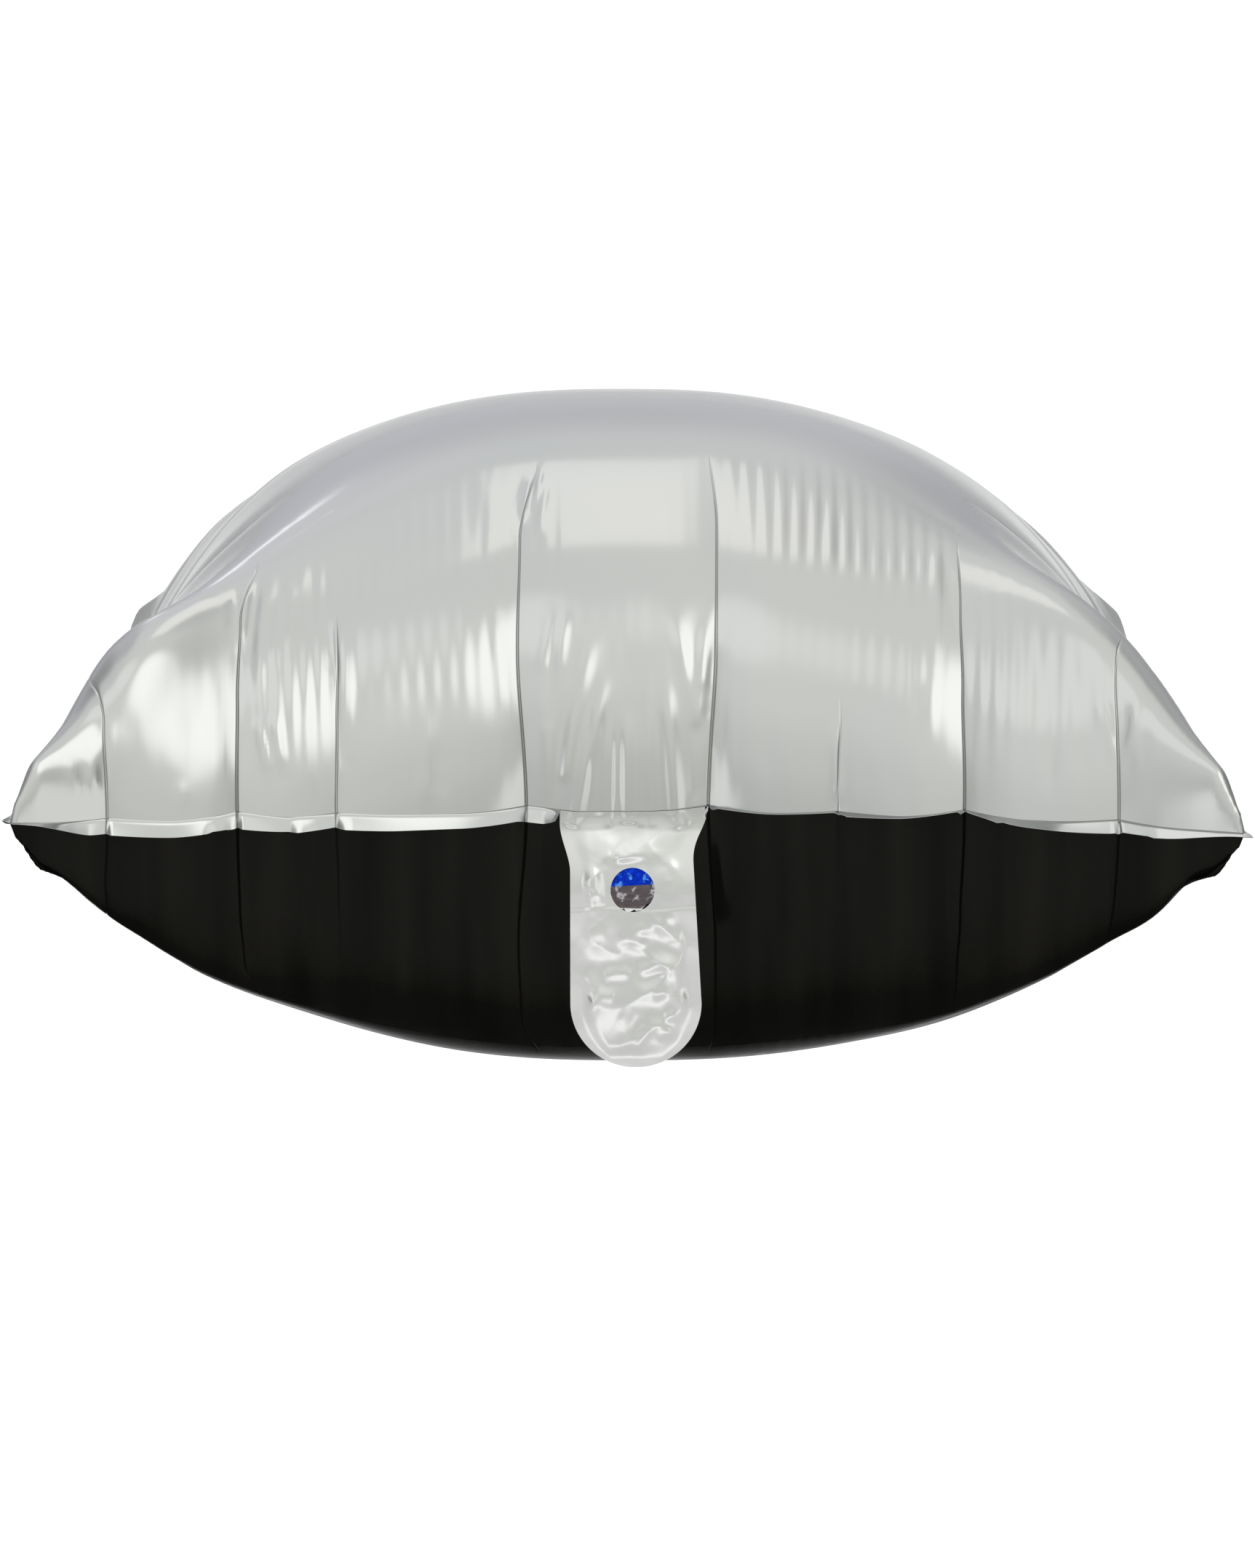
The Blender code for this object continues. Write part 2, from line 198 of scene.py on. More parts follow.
# Pleats of each edge: place along the edge, depth of the broad valley, depth of the narrow
# groove in it, how far each runs in from the weld, where 1 is the centre, and how far it
# strays sideways at the weld, at thirds of its run and at its inner end.
PLEATS = {
    "near": (
        (-0.862, 0.0022, 0.0018, 0.20, (0.000, -0.009, -0.016, -0.020)),
        (-0.645, 0.0040, 0.0034, 0.36, (-0.003, 0.000, 0.006, 0.034)),
        (-0.480, 0.0020, 0.0016, 0.27, (-0.005, 0.000, 0.003, 0.003)),
        (-0.174, 0.0034, 0.0030, 0.56, (0.006, -0.006, -0.001, 0.026)),
        (0.144, 0.0034, 0.0030, 0.60, (-0.010, 0.001, 0.001, -0.010)),
        (0.350, 0.0018, 0.0010, 0.14, (0.000, 0.001, 0.002, 0.000)),
        (0.552, 0.0042, 0.0032, 0.40, (0.008, 0.001, -0.005, -0.010)),
        (0.813, 0.0026, 0.0024, 0.22, (0.002, 0.000, -0.003, -0.006)),
    ),
    "far": (
        (-0.640, 0.0036, 0.0030, 0.40, (0.004, -0.003, 0.006, 0.020)),
        (-0.420, 0.0014, 0.0010, 0.20, (0.000, 0.002, 0.002, 0.004)),
        (-0.170, 0.0036, 0.0030, 0.56, (-0.006, 0.004, 0.000, 0.018)),
        (0.160, 0.0026, 0.0020, 0.42, (0.004, -0.003, 0.003, -0.012)),
        (0.370, 0.0014, 0.0010, 0.18, (0.000, -0.002, 0.000, 0.003)),
        (0.550, 0.0036, 0.0030, 0.46, (-0.004, 0.004, -0.002, -0.018)),
        (0.800, 0.0024, 0.0020, 0.24, (0.002, 0.000, 0.004, 0.010)),
    ),
    "left": (
        (-0.720, 0.0026, 0.0022, 0.28, (0.002, 0.000, -0.004, -0.010)),
        (-0.500, 0.0012, 0.0010, 0.16, (0.000, 0.002, 0.000, 0.002)),
        (-0.280, 0.0036, 0.0030, 0.46, (-0.006, 0.003, -0.002, 0.020)),
        (0.220, 0.0036, 0.0030, 0.50, (0.004, -0.005, 0.001, -0.016)),
        (0.450, 0.0012, 0.0010, 0.18, (0.000, 0.001, -0.002, 0.002)),
        (0.660, 0.0034, 0.0026, 0.34, (0.003, 0.000, 0.004, 0.014)),
    ),
    "right": (
        (-0.720, 0.0026, 0.0022, 0.28, (-0.002, 0.001, 0.004, 0.012)),
        (-0.280, 0.0032, 0.0028, 0.44, (0.006, -0.002, 0.003, -0.018)),
        (0.020, 0.0012, 0.0010, 0.16, (0.000, 0.002, 0.001, 0.000)),
        (0.220, 0.0036, 0.0030, 0.48, (-0.004, 0.005, 0.000, 0.020)),
        (0.460, 0.0012, 0.0010, 0.18, (0.001, 0.000, -0.002, 0.001)),
        (0.660, 0.0032, 0.0026, 0.34, (0.003, -0.001, 0.004, 0.010)),
    ),
}
VALLEY_HALF = 0.105
VALLEY_SHARE = 0.8
VALLEY_FADE_POWER = 0.9
GROOVE_HALF = 0.00058
GROOVE_HALF_END = 0.00040
GROOVE_SHARE = 0.30
GROOVE_POWER = 1.3
GROOVE_FADE_GAIN = 1.4
GROOVE_FADE_POWER = 0.8
STRAY_FADE = 0.6
STRAY_BAND = 0.035

# The weld rises at each pleat, most at one of full depth, and sags between pleats.
WELD_WAVE_REACH = 0.10
WELD_WAVE_CORNER = 0.12
WELD_RISE = 0.0024
WELD_SAG = 0.0010
WELD_BUMP_POWER = 1.5
FULL_VALLEY = 0.0040
WELD_CALM = 0.016

# The flange: how far it leans down, in degrees, at places along each edge, and how far its
# flat facets turn from that.
FLANGE_WIDTH = 0.006
FLANGE_KNEE = 0.0016
FLANGE_PLY = 0.00014
FLANGE_LEANS = {
    "near": (
        (-1, -15), (-0.96, 5), (-0.89, 58), (-0.7, 58), (-0.14, 58), (-0.10, 0), (0.6, 0), (0.8, 50), (1, 35)
    ),
    "far": ((-1, 20), (-0.7, -30), (-0.1, -20), (0.3, 40), (0.8, 45), (1, 10)),
    "left": ((-1, -45), (-0.8, 30), (0.1, 45), (0.5, -10), (1, 20)),
    "right": ((-1, 35), (-0.6, -15), (0.0, -35), (0.5, 25), (1, 10)),
}
FLANGE_STEPS = 7
FLANGE_SLACK = 0.6
FACET_TURN_DEG = 16.0
FACET_FOLDS = 7
FACET_PLACE = 0.95
FACET_CALM = 0.006
TIP_NARROWING = 0.0035
NOTCH_FLANGE = 0.0001
NOTCH_EASE = 0.004
PLY_GAP = 0.00002
SHARP_ANGLE = math.radians(50)

# The grid of each film: lines across and along, how they crowd at the pleats, and bands in
# which they are closer, each with its middle, half width and added density.
COLUMNS = 400
ROWS = 246
FINE_LINES = 8001
CROWD_HALF = 0.0045
CROWD = 12.0
COLUMN_BANDS = ((0.0, 0.17, 1.4), (-0.585, 0.075, 0.7), (0.81, 0.05, 0.7), (-0.88, 0.05, 0.7))
COLUMN_ENDS, COLUMN_ENDS_DENSITY = 0.95, 0.8
NEAR_ROWS, NEAR_ROWS_DENSITY = -0.72, 1.8
FAR_ROWS, FAR_ROWS_DENSITY = 0.8, 0.7
ROW_ENDS, ROW_ENDS_DENSITY = 0.96, 1.0

# Ripples square to the weld where the film was gathered: how far apart and how high, and how
# strong they are away from the near edge, in patches, and along it.
RIPPLE_APART = 0.0061
RIPPLE_RISE = 0.00015
RIPPLE_WANDER = 14.0
OTHER_RIPPLES = 0.30
OTHER_RIPPLES_OUTER = (0.36, 0.16)
OTHER_RIPPLES_INWARD = (0.06, 0.10)
OTHER_RIPPLES_NOISE = (0.42, 0.3)
RIPPLE_CELLS = 3.0
RIPPLE_DIAGONAL = (0.02, 0.2)
RIPPLE_WELD = 0.02
NEAR_RIPPLES = 0.09
STREAK_RISE = 0.0000032
# Where the film ripples along the near edge: middle and half length along it, middle and half
# depth in from the weld, strength.
RIPPLE_PATCHES = (
    (0.350, 0.215, 0.46, 0.20, 0.95),
    (0.450, 0.100, 0.24, 0.16, 0.34),
    (0.690, 0.150, 0.20, 0.17, 1.10),
    (-0.570, 0.095, 0.20, 0.18, 1.00),
    (-0.330, 0.150, 0.22, 0.13, 0.32),
    (-0.300, 0.110, 0.48, 0.14, 0.22),
    (-0.140, 0.040, 0.40, 0.14, 0.50),
)
PATCH_EDGE_ALONG = 0.3
PATCH_EDGE_INWARD = 0.5

# The tail, hanging from its fold line. Its left side has a shoulder and runs straight, and its
# right side widens downwards below its shoulder.
TAIL_X = 0.0022
TAIL_ROOT_HALF = 0.0252
TAIL_LENGTH = 0.0924
TAIL_BORDER = 0.0055
TAIL_SIDE_CLEARANCE = 0.0010
TAIL_LEFT = -0.0203
TAIL_LEFT_SHOULDER = 0.0037
TAIL_LEFT_EASE = (0.005, 0.017)
TAIL_RIGHT = 0.0233
TAIL_RIGHT_SHOULDER = 0.0054
TAIL_RIGHT_DROP = 0.018
TAIL_RIGHT_POWER = 1.3
TAIL_WIDENING = 0.0030
TAIL_END_RADIUS = (TAIL_RIGHT + TAIL_WIDENING - TAIL_LEFT) / 2
TAIL_END_CENTRE = TAIL_LENGTH - TAIL_END_RADIUS
MESH_GAP = 0.0003
NOTCH_WIDTH = 0.0032
FOLD_CLEARANCE = 0.0013

# The tail's grid: columns, rows down its straight part, their crowding at the root, rows and
# degrees of its round end, and cells from the middle of the filling hole to its rim.
TAIL_COLUMNS = 76
TAIL_ROWS = 130
TAIL_ROWS_POWER = 1.15
TAIL_END_ROWS = 35
TAIL_END_DEG = 86.0
HOLE_CELLS = 13
HOLE_BLEND = 0.8
HOLE_RADIUS = 0.0078
HOLE_DROP = 0.0282
HOLE_X = 0.0018

# How each ply of the tail lies: it comes out from the weld to its hanging plane over one
# drop, parts from the other ply over another, and swells between its flat borders.
FILM_THICKNESS = 0.00012
ROOT_EASE = 0.0300
ROOT_FOLD_JOIN = 0.0025
ROOT_SEAL_DROP = 0.0076
PLY_PARTING = 0.018
PLY_FROM_FOLD = 0.0005
POCKET_RISE = 0.0008
POCKET_INSET = 0.6
RELIEF_FLOOR = -0.0003
RELIEF_SOFTNESS = 0.0004
RELIEF_CALM_DROP = 0.012
RING_EASE = (0.9, 1.1)
BORDER_CRUMPLE = 0.15
BORDER_FOLDS = 0.2
# A ply without a hole is this far out of one everywhere, its rim being at 1.
NO_RING = 9.0

# The relief of handled foil: size and rise of each layer, and how much longer than wide a
# dent is.
CRUMPLE_LAYERS = ((0.019, 0.00085), (0.010, 0.00042), (0.005, 0.00012))
CRUMPLE_LENGTH = 1.8
CRUMPLE_PLACE = (11.3, 5.1)
NOISE_CELLS = 64

# Folds of the tail's film, in x from its middle line and drop from its root: start, end, how
# far each rises and its half width. Those at its root go on from the folds above the weld.
TAIL_FOLDS = (
    (-0.0140, 0.0192, -0.0073, 0.0156, 0.00048, 0.0017),
    (-0.0073, 0.0156, 0.0018, 0.0205, 0.00048, 0.0017),
    (-0.0070, 0.0148, 0.0040, 0.0192, 0.00065, 0.0034),
    (-0.0210, 0.0220, -0.0105, 0.0235, 0.00041, 0.0031),
    (0.0041, 0.0145, 0.0100, 0.0282, 0.00057, 0.0021),
    (0.0096, 0.0200, 0.0124, 0.0270, 0.00048, 0.0018),
    (0.0170, 0.0170, 0.0175, 0.0290, 0.00033, 0.0031),
    (-0.0125, 0.0278, -0.0116, 0.0350, 0.00041, 0.0012),
    (-0.0156, 0.0285, -0.0143, 0.0352, 0.00033, 0.0013),
    (-0.0102, 0.0288, -0.0110, 0.0345, 0.00033, 0.0012),
    (-0.0072, 0.0480, 0.0068, 0.0402, 0.00057, 0.0027),
    (0.0060, 0.0408, 0.0148, 0.0370, 0.00048, 0.0023),
    (-0.0030, 0.0462, 0.0060, 0.0478, 0.00041, 0.0018),
    (-0.0215, 0.0450, -0.0090, 0.0440, 0.00041, 0.0027),
    (-0.0125, 0.0592, 0.0006, 0.0572, 0.00065, 0.0025),
    (-0.0005, 0.0574, 0.0158, 0.0536, 0.00072, 0.0026),
    (0.0012, 0.0634, 0.0134, 0.0546, -0.00041, 0.0025),
    (-0.0135, 0.0650, -0.0062, 0.0668, 0.00048, 0.0023),
    (-0.0128, 0.0648, -0.0170, 0.0765, 0.00048, 0.0020),
    (0.0060, 0.0660, 0.0125, 0.0643, 0.00048, 0.0020),
    (0.0104, 0.0742, 0.0152, 0.0725, 0.00048, 0.0020),
    (0.0070, 0.0765, -0.0004, 0.0872, 0.00041, 0.0014),
    (0.0078, 0.0816, 0.0138, 0.0786, 0.00041, 0.0018),
    (0.0165, 0.0370, 0.0168, 0.0600, 0.00025, 0.0012),
    (0.0160, 0.0642, 0.0198, 0.0690, 0.00041, 0.0016),
    (-0.0060, 0.0730, 0.0010, 0.0760, 0.00033, 0.0034),
)
ROOT_FOLDS = (
    (-0.0203, 0.0, -0.0225, 0.0072, 0.00090, 0.0025),
    (0.0147, 0.0, 0.0178, 0.0076, 0.00090, 0.0026),
    (-0.0018, 0.0, -0.0018, 0.0060, 0.00085, 0.0022),
    (-0.0085, 0.0, -0.0092, 0.0074, 0.00045, 0.0013),
    (0.0024, 0.0, 0.0026, 0.0074, 0.00045, 0.0014),
    (0.0062, 0.0, 0.0068, 0.0074, 0.00040, 0.0016),
)
FOLD_END_SHARE = 0.3

# The root seal, a groove with an arch in it, and the crease at the foot of the hole.
SEAL_ARCH_X = -0.0006
SEAL_ARCH_HALF = 0.0050
SEAL_ARCH_DROP = 0.0022
SEAL_ARCH_RISE = 0.0005
SEAL_ARCH_REACH = 0.004
SEAL_GROOVE = 0.00022
SEAL_GROOVE_HALF = 0.0008
ACROSS_CREASE_DROP = 0.0350
ACROSS_CREASE_RISE = 0.00030
ACROSS_CREASE_WIDTH = 0.0009
ACROSS_CREASE_FADE = 0.012
ACROSS_CREASE_WAVE = 0.0006
ACROSS_CREASE_TURNS = 210.0

# The valve's two films, and its white foot, whose edge leans a little.
VALVE_HALF = 0.0150
BLUE_DROPS = (0.010, 0.0266)
GREY_DROPS = (0.0266, 0.050)
VALVE_TILT = 0.0008
VALVE_LINES = 61
VALVE_CRUMPLE = 0.2
VALVE_FOOT = -0.0348
VALVE_FOOT_EDGE = 0.0002
FOOT_LEAN = 0.04
VALVE_GRAIN = 420.0
# The noise values over which each valve film goes from painted shade to painted glints.
VALVE_PAINTED_GLINTS = (0.52, 0.68)
VALVE_BUMP = 0.0007

# The films' tints, by the value of a noise, and how rough each film is.
SILVER_TINTS = ((0.3, (0.530, 0.542, 0.528)), (0.7, (0.556, 0.560, 0.546)))
SILVER_ROUGH = (0.11, 0.19)
BLACK_TINTS = ((0.35, (0.0094, 0.0094, 0.0083)), (0.75, (0.0172, 0.0167, 0.0144)))
BLACK_ROUGH = (0.14, 0.24)
# The tail below its root is painted paler than the panel's tone, as painted brightness for the light it
# reflects; the foil is the same.
TAIL_PAINTED_LIGHT_TINTS = ((0.0, (0.665, 0.67, 0.655)), (1.0, (0.73, 0.73, 0.715)))
TAIL_ROOT_TINTS = ((0.0, (0.545, 0.552, 0.537)), (1.0, (0.56, 0.565, 0.55)))
TAIL_ROUGH = (0.15, 0.24)
TAIL_TONE_Z = (-0.0050, -0.0102)
TAIL_BUMP = 0.0002
# The blue is the valve film's own hue, and the grey is the clear valve film's tone; the dark and light stops
# of both are painted shade and painted glints on their crinkles.
VALVE_BLUES = ((0.0, (0.004, 0.030, 0.46)), (1.0, (0.10, 0.34, 0.95)))
VALVE_GREYS = ((0.0, (0.11, 0.092, 0.098)), (1.0, (0.46, 0.44, 0.46)))
VALVE_WHITES = ((0.0, (0.80, 0.80, 0.80)), (1.0, (0.92, 0.92, 0.92)))

# The floor, and the wall that it bends up to.
FLOOR_Z = -1.1
FLOOR_HALF = 9.0
FLOOR_END = 2.5
WALL_BEND = 1.6
WALL_BEND_STEPS = 12
WALL_TOP = 1.75

# The camera, from the photo's outline.
CAMERA_AWAY = 2.0866
CAMERA_RISE_DEG = 9.11
CAMERA_LENS = 123.58
CAMERA_SENSOR = 36.0
AIM_BELOW = 0.0218

# The studio's brightness, by height in front of the balloon and behind it, and by side. It
# goes from front to back over a band in y.
STUDIO_GAIN = 1.06
STUDIO_FRONT = (
    (0.0, (0.72, 0.73, 0.70)),
    (0.16, (0.78, 0.79, 0.76)),
    (0.34, (0.89, 0.90, 0.87)),
    (0.60, (0.99, 1.00, 0.97)),
    (1.0, (0.96, 0.97, 0.955)),
)
STUDIO_BACK = (
    (0.0, (0.98, 0.98, 1.02)),
    (0.26, (1.24, 1.24, 1.28)),
    (0.56, (1.16, 1.165, 1.19)),
    (0.82, (1.00, 1.01, 1.015)),
    (1.0, (0.96, 0.97, 0.965)),
)
STUDIO_BACK_SIDES = (
    (0.30, (0.80, 0.80, 0.80)),
    (0.37, (1.0, 1.0, 1.0)),
    (0.57, (1.0, 1.0, 1.0)),
    (0.64, (0.80, 0.80, 0.80)),
    (0.74, (0.70, 0.70, 0.70)),
)
STUDIO_SIDES = (
    (0.0, (0.38, 0.38, 0.38)),
    (0.12, (0.46, 0.46, 0.46)),
    (0.24, (0.88, 0.88, 0.91)),
    (0.38, (0.98, 0.98, 1.00)),
    (0.54, (1.0, 1.0, 1.0)),
    (0.68, (0.97, 0.97, 0.97)),
    (0.79, (0.82, 0.82, 0.82)),
    (0.88, (0.44, 0.44, 0.44)),
    (1.0, (0.34, 0.34, 0.34)),
)
STUDIO_TURN = 0.15
# Broad soft lights in front, two high and two low at the sides, as directions: where, how
# near in cosine each starts and is full, brightness.
STUDIO_GLOWS = (
    ((0.36, -0.60, 0.71), 0.936, 0.990, (0.64, 0.64, 0.64)),
    ((-0.18, -0.52, 0.83), 0.968, 0.996, (0.19, 0.19, 0.19)),
    ((-0.60, -0.79, 0.08), 0.966, 0.994, (0.45, 0.45, 0.45)),
    ((0.60, -0.79, 0.08), 0.966, 0.994, (0.45, 0.45, 0.45)),
)
# Soft lights: name, place, aim, size, brightness, colour.
SOFT_LIGHTS = (
    ("overhead", (-0.02, 0.37, 1.52), (0.0, 0.0, 0.1), (0.36, 1.18), 0.33, (1.0, 0.955, 0.91)),
    ("behind_left", (-0.98, 2.36, 1.50), (-0.15, -0.05, 0.08), (0.24, 0.20), 1.7, (0.96, 0.95, 1.0)),
    ("on_the_floor", (0.0, -2.80, -0.55), (0.0, -2.80, -1.1), (2.6, 0.9), 1.1, (1.0, 1.0, 1.0)),
    ("on_the_wall", (0.0, 2.20, -0.10), (0.0, 4.0, -0.15), (2.2, 2.0), 1.2, (1.0, 1.0, 1.0)),
)


def smooth(t):
    t = np.clip(t, 0.0, 1.0)
    return t * t * (3.0 - 2.0 * t)


def eased(value, start, run):
    """0 up to start, and smoothly to 1 over run."""
    return smooth((value - start) / run)


def outermost(u, v):
    return np.maximum(np.abs(u), np.abs(v))


def crown(place):
    return 1.0 - np.abs(place) ** CROWN_POWER


def ridge(u, v):
    """The share of its rise that the ridge along each diagonal has."""
    outer = outermost(u, v)
    across = np.exp(-(((np.abs(u) - np.abs(v)) / RIDGE_HALF) ** 2))
    along = np.exp(-(((outer - RIDGE_PLACE) / RIDGE_REACH) ** 2))
    return across * along * (1.0 - outer**WELD_FADE)


def corner_curl(u, v):
    lift = np.zeros_like(u)
    for (corner_u, corner_v), rise in CORNER_CURLS.items():
        away = np.hypot(u - corner_u, v - corner_v) / CURL_REACH
        lift += rise * np.maximum(0.0, 1.0 - away) ** 2
    return lift


def pillow(u, v, height):
    """Points of the smooth pillow, the last axis being x, y and z."""
    side_pull = SIDE_TAKE_UP * np.abs(u) ** PLAN_POWER * (1.0 - np.abs(v) ** EDGE_POWER)
    end_pull = END_TAKE_UP * np.abs(v) ** PLAN_POWER * (1.0 - np.abs(u) ** EDGE_POWER)
    x = u * (FILM_HALF - side_pull - CORNER_TAKE_UP * v * v)
    y = v * (FILM_HALF - end_pull - CORNER_TAKE_UP * u * u)
    across, along = crown(u), crown(v)
    union = np.maximum(across + along - across * along, TINY)
    lift = across * along / union**CORNER_FULLNESS
    up = 1.0 if height > 0 else -1.0
    z = height * lift + up * RIDGE_RISE * ridge(u, v) + corner_curl(u, v)
    return np.stack([x, y, z], -1)


def outward(u, v, height):
    """The smooth pillow's outward direction, level where it meets the weld."""
    u0, u1 = np.maximum(u - NORMAL_STEP, -1.0), np.minimum(u + NORMAL_STEP, 1.0)
    v0, v1 = np.maximum(v - NORMAL_STEP, -1.0), np.minimum(v + NORMAL_STEP, 1.0)
    along_u = pillow(u1, v, height) - pillow(u0, v, height)
    along_v = pillow(u, v1, height) - pillow(u, v0, height)
    normal = np.cross(along_u, along_v) * (1.0 if height > 0 else -1.0)
    normal[..., 2] *= 1.0 - outermost(u, v) ** NORMAL_FADE
    return normal / np.maximum(np.linalg.norm(normal, axis=-1, keepdims=True), SHORTEST)


def edge_views(u, v):
    """For each edge: its name, the place along it, and how far in from it a point lies."""
    return (
        ("near", u, 1.0 + v),
        ("far", u, 1.0 - v),
        ("left", v, 1.0 + u),
        ("right", v, 1.0 - u),
    )


def stray(strays, reach, inwards):
    """How far a pleat strays sideways at a depth in from the weld."""
    spans = len(strays) - 1
    share = np.clip(inwards / reach, 0.0, 1.0) * spans
    step = np.minimum(np.floor(share), spans - 1).astype(int)
    strays = np.array(strays)
    t = smooth(share - step)
    fade = 1.0 - eased(inwards / reach, 1.0, STRAY_FADE)
    return (strays[step] * (1.0 - t) + strays[step + 1] * t) * fade


def pleat_draw(u, v):
    """How far the pleats draw the film in."""
    drawn = np.zeros_like(u)
    for edge, along, inwards in edge_views(u, v):
        for place, valley, groove, reach, strays in PLEATS[edge]:
            off = np.abs(along - place - stray(strays, reach, inwards))
            fade = np.clip(1.0 - inwards / reach, 0.0, 1.0)
            broad = np.clip(1.0 - off / VALLEY_HALF, 0.0, 1.0) ** 2
            half = (GROOVE_HALF_END + (GROOVE_HALF - GROOVE_HALF_END) * fade) / FILM_HALF
            narrow = np.clip(1.0 - off / half, 0.0, 1.0) ** GROOVE_POWER
            narrow_fade = np.minimum(1.0, GROOVE_FADE_GAIN * fade) ** GROOVE_FADE_POWER
            drawn += VALLEY_SHARE * valley * broad * fade**VALLEY_FADE_POWER
            drawn += GROOVE_SHARE * groove * narrow * narrow_fade
    return drawn


def follow_pleats(u, v):
    """Moves grid lines sideways so that they follow the pleats."""
    moved = {"near": np.zeros_like(u), "left": np.zeros_like(u)}
    for edge, along, inwards in edge_views(u, v):
        axis = "near" if edge in ("near", "far") else "left"
        for place, _, _, reach, strays in PLEATS[edge]:
            band = np.exp(-(((along - place) / STRAY_BAND) ** 2))
            moved[axis] += stray(strays, reach, inwards) * band
    return u + moved["near"] * (np.abs(u) < 1.0), v + moved["left"] * (np.abs(v) < 1.0)


def lobes(u, v, table):
    lift = np.zeros_like(u)
    for place_u, place_v, rise, reach_u, reach_v in table:
        lift += rise * np.exp(-(((u - place_u) / reach_u) ** 2) - ((v - place_v) / reach_v) ** 2)
    return lift


def diagonal_lobes(u, v, table):
    lift = np.zeros_like(u)
    for place_u, place_v, rise, reach_along, reach_across in table:
        off_u, off_v = (u - place_u) * np.sign(place_u), (v - place_v) * np.sign(place_v)
        along = (off_u + off_v) / math.sqrt(2) / reach_along
        across = (off_u - off_v) / math.sqrt(2) / reach_across
        lift += rise * np.exp(-(along**2) - across**2)
    return lift


def into_points(points, u, v):
    """Draws the film's corners out to flat points."""
    away = np.hypot(1.0 - np.abs(u), 1.0 - np.abs(v))
    level = corner_curl(u, v)
    flatness = TIP_FLATNESS * smooth(1.0 - away / TIP_REACH)
    points[..., 2] = level + (points[..., 2] - level) * (1.0 - flatness)
    pointed = CORNER_POINT * np.maximum(0.0, 1.0 - away / CORNER_POINT_REACH) ** CORNER_POINT_POWER
    points[..., 0] += np.sign(u) * pointed
    points[..., 1] += np.sign(v) * pointed


def away_from_path(points, path):
    """Each point's distance to a path, and how far along the path its nearest place is."""
    best = np.full(points.shape[:-1], np.inf)
    share = np.zeros(points.shape[:-1])
    for k, (start, end) in enumerate(zip(path, path[1:])):
        step = end - start
        t = np.clip((points - start) @ step / (step @ step), 0.0, 1.0)
        away = np.linalg.norm(points - start - t[..., None] * step, axis=-1)
        nearer = away < best
        best = np.where(nearer, away, best)
        share = np.where(nearer, (k + t) / (len(path) - 1), share)
    return best, share


def crease_lift(points, creases, height, ends_free=True):
    """How far fine creases lift a surface. Each grows from its first end, and fades at its
    other end too if that is free."""
    lift = np.zeros(points.shape[:-1])
    t = np.linspace(0.0, 1.0, CREASE_POINTS)
    for u0, v0, u1, v1, rise, half in creases:
        path = pillow(u0 + (u1 - u0) * t, v0 + (v1 - v0) * t, height)
        margin = CREASE_MARGIN * half
        near = np.all((points > path.min(0) - margin) & (points < path.max(0) + margin), axis=-1)
        if not near.any():
            continue
        away, share = away_from_path(points[near], path)
        taper = smooth(share / CREASE_GROWTH)
        if ends_free:
            taper *= 1.0 - CREASE_END_FADE * eased(share, 1.0 - CREASE_END_SHARE, CREASE_END_SHARE)
        lift[near] += rise * taper * np.exp(-((away / half) ** 2))
    return lift


def stray_creases(seed):
    """Small random creases square to each edge, as rows like those of the other creases."""
    rng = np.random.default_rng(seed)
    made = []
    for edge in range(4):
        for _ in range(STRAY_CREASES):
            place = rng.uniform(-STRAY_PLACE, STRAY_PLACE)
            near, far = 1.0 - rng.uniform(*STRAY_NEAR), 1.0 - rng.uniform(*STRAY_FAR)
            slant = rng.uniform(-STRAY_SLANT, STRAY_SLANT)
            rise = rng.choice([-1.0, 1.0]) * rng.uniform(*STRAY_RISE)
            half = rng.uniform(*STRAY_HALF)
            start, end = (place + slant, far), (place, near)
            if edge in (0, 2):
                start, end = (start[0], -start[1]), (end[0], -end[1])
            if edge in (2, 3):
                start, end = start[::-1], end[::-1]
            made.append((*start, *end, rise, half))
    return made


def weld_wave(u, v):
    """How far the weld rises at each pleat and sags between, fading inwards."""
    wave = np.zeros_like(u)
    for edge, along, inwards in edge_views(u, v):
        fade = np.clip(1.0 - inwards / WELD_WAVE_REACH, 0.0, 1.0) ** 2
        corner = np.clip((1.0 - np.abs(along)) / WELD_WAVE_CORNER, 0.0, 1.0)
        bump = np.zeros_like(u)
        for place, valley, _, _, strays in PLEATS[edge]:
            near = np.clip(1.0 - np.abs(along - place - strays[0]) / VALLEY_HALF, 0.0, 1.0)
            bump = np.maximum(bump, valley / FULL_VALLEY * near**WELD_BUMP_POWER)
        wave += (WELD_RISE * bump - WELD_SAG) * fade * corner
    return wave


def film(u, v, height):
    """A film's surface: the pillow with its pleats, lobes and creases. The silver film has a
    height above 0, and the black film one below it."""
    silver = height > 0
    smooth_points = pillow(u, v, height)
    outer = outermost(u, v)
    calm, fade = np.clip((1.0 - outer) / WELD_CALM, 0.0, 1.0), 1.0 - outer**LOBE_FADE
    lift = -pleat_draw(u, v)
    lift = lift + fade * lobes(u, v, SILVER_LOBES if silver else BLACK_LOBES)
    lift = lift + fade * diagonal_lobes(u, v, SILVER_DIAGONALS if silver else BLACK_DIAGONALS)
    if silver:
        lift = lift + calm * crease_lift(smooth_points, FAN_CREASES, height)
        folds = crease_lift(smooth_points, ROOT_CREASES, height, ends_free=False)
        lift = lift + np.maximum(folds, 0.0) + calm * np.minimum(folds, 0.0)
    strays = stray_creases(SEED if silver else SEED + 1)
    lift = lift + calm * crease_lift(smooth_points, strays, height)
    points = smooth_points + outward(u, v, height) * lift[..., None]
    points[..., 2] += weld_wave(u, v)
    into_points(points, u, v)
    return points


def tail_place(x):
    """The place u on the near weld for an x of the tail."""
    return x / (FILM_HALF - CORNER_TAKE_UP)


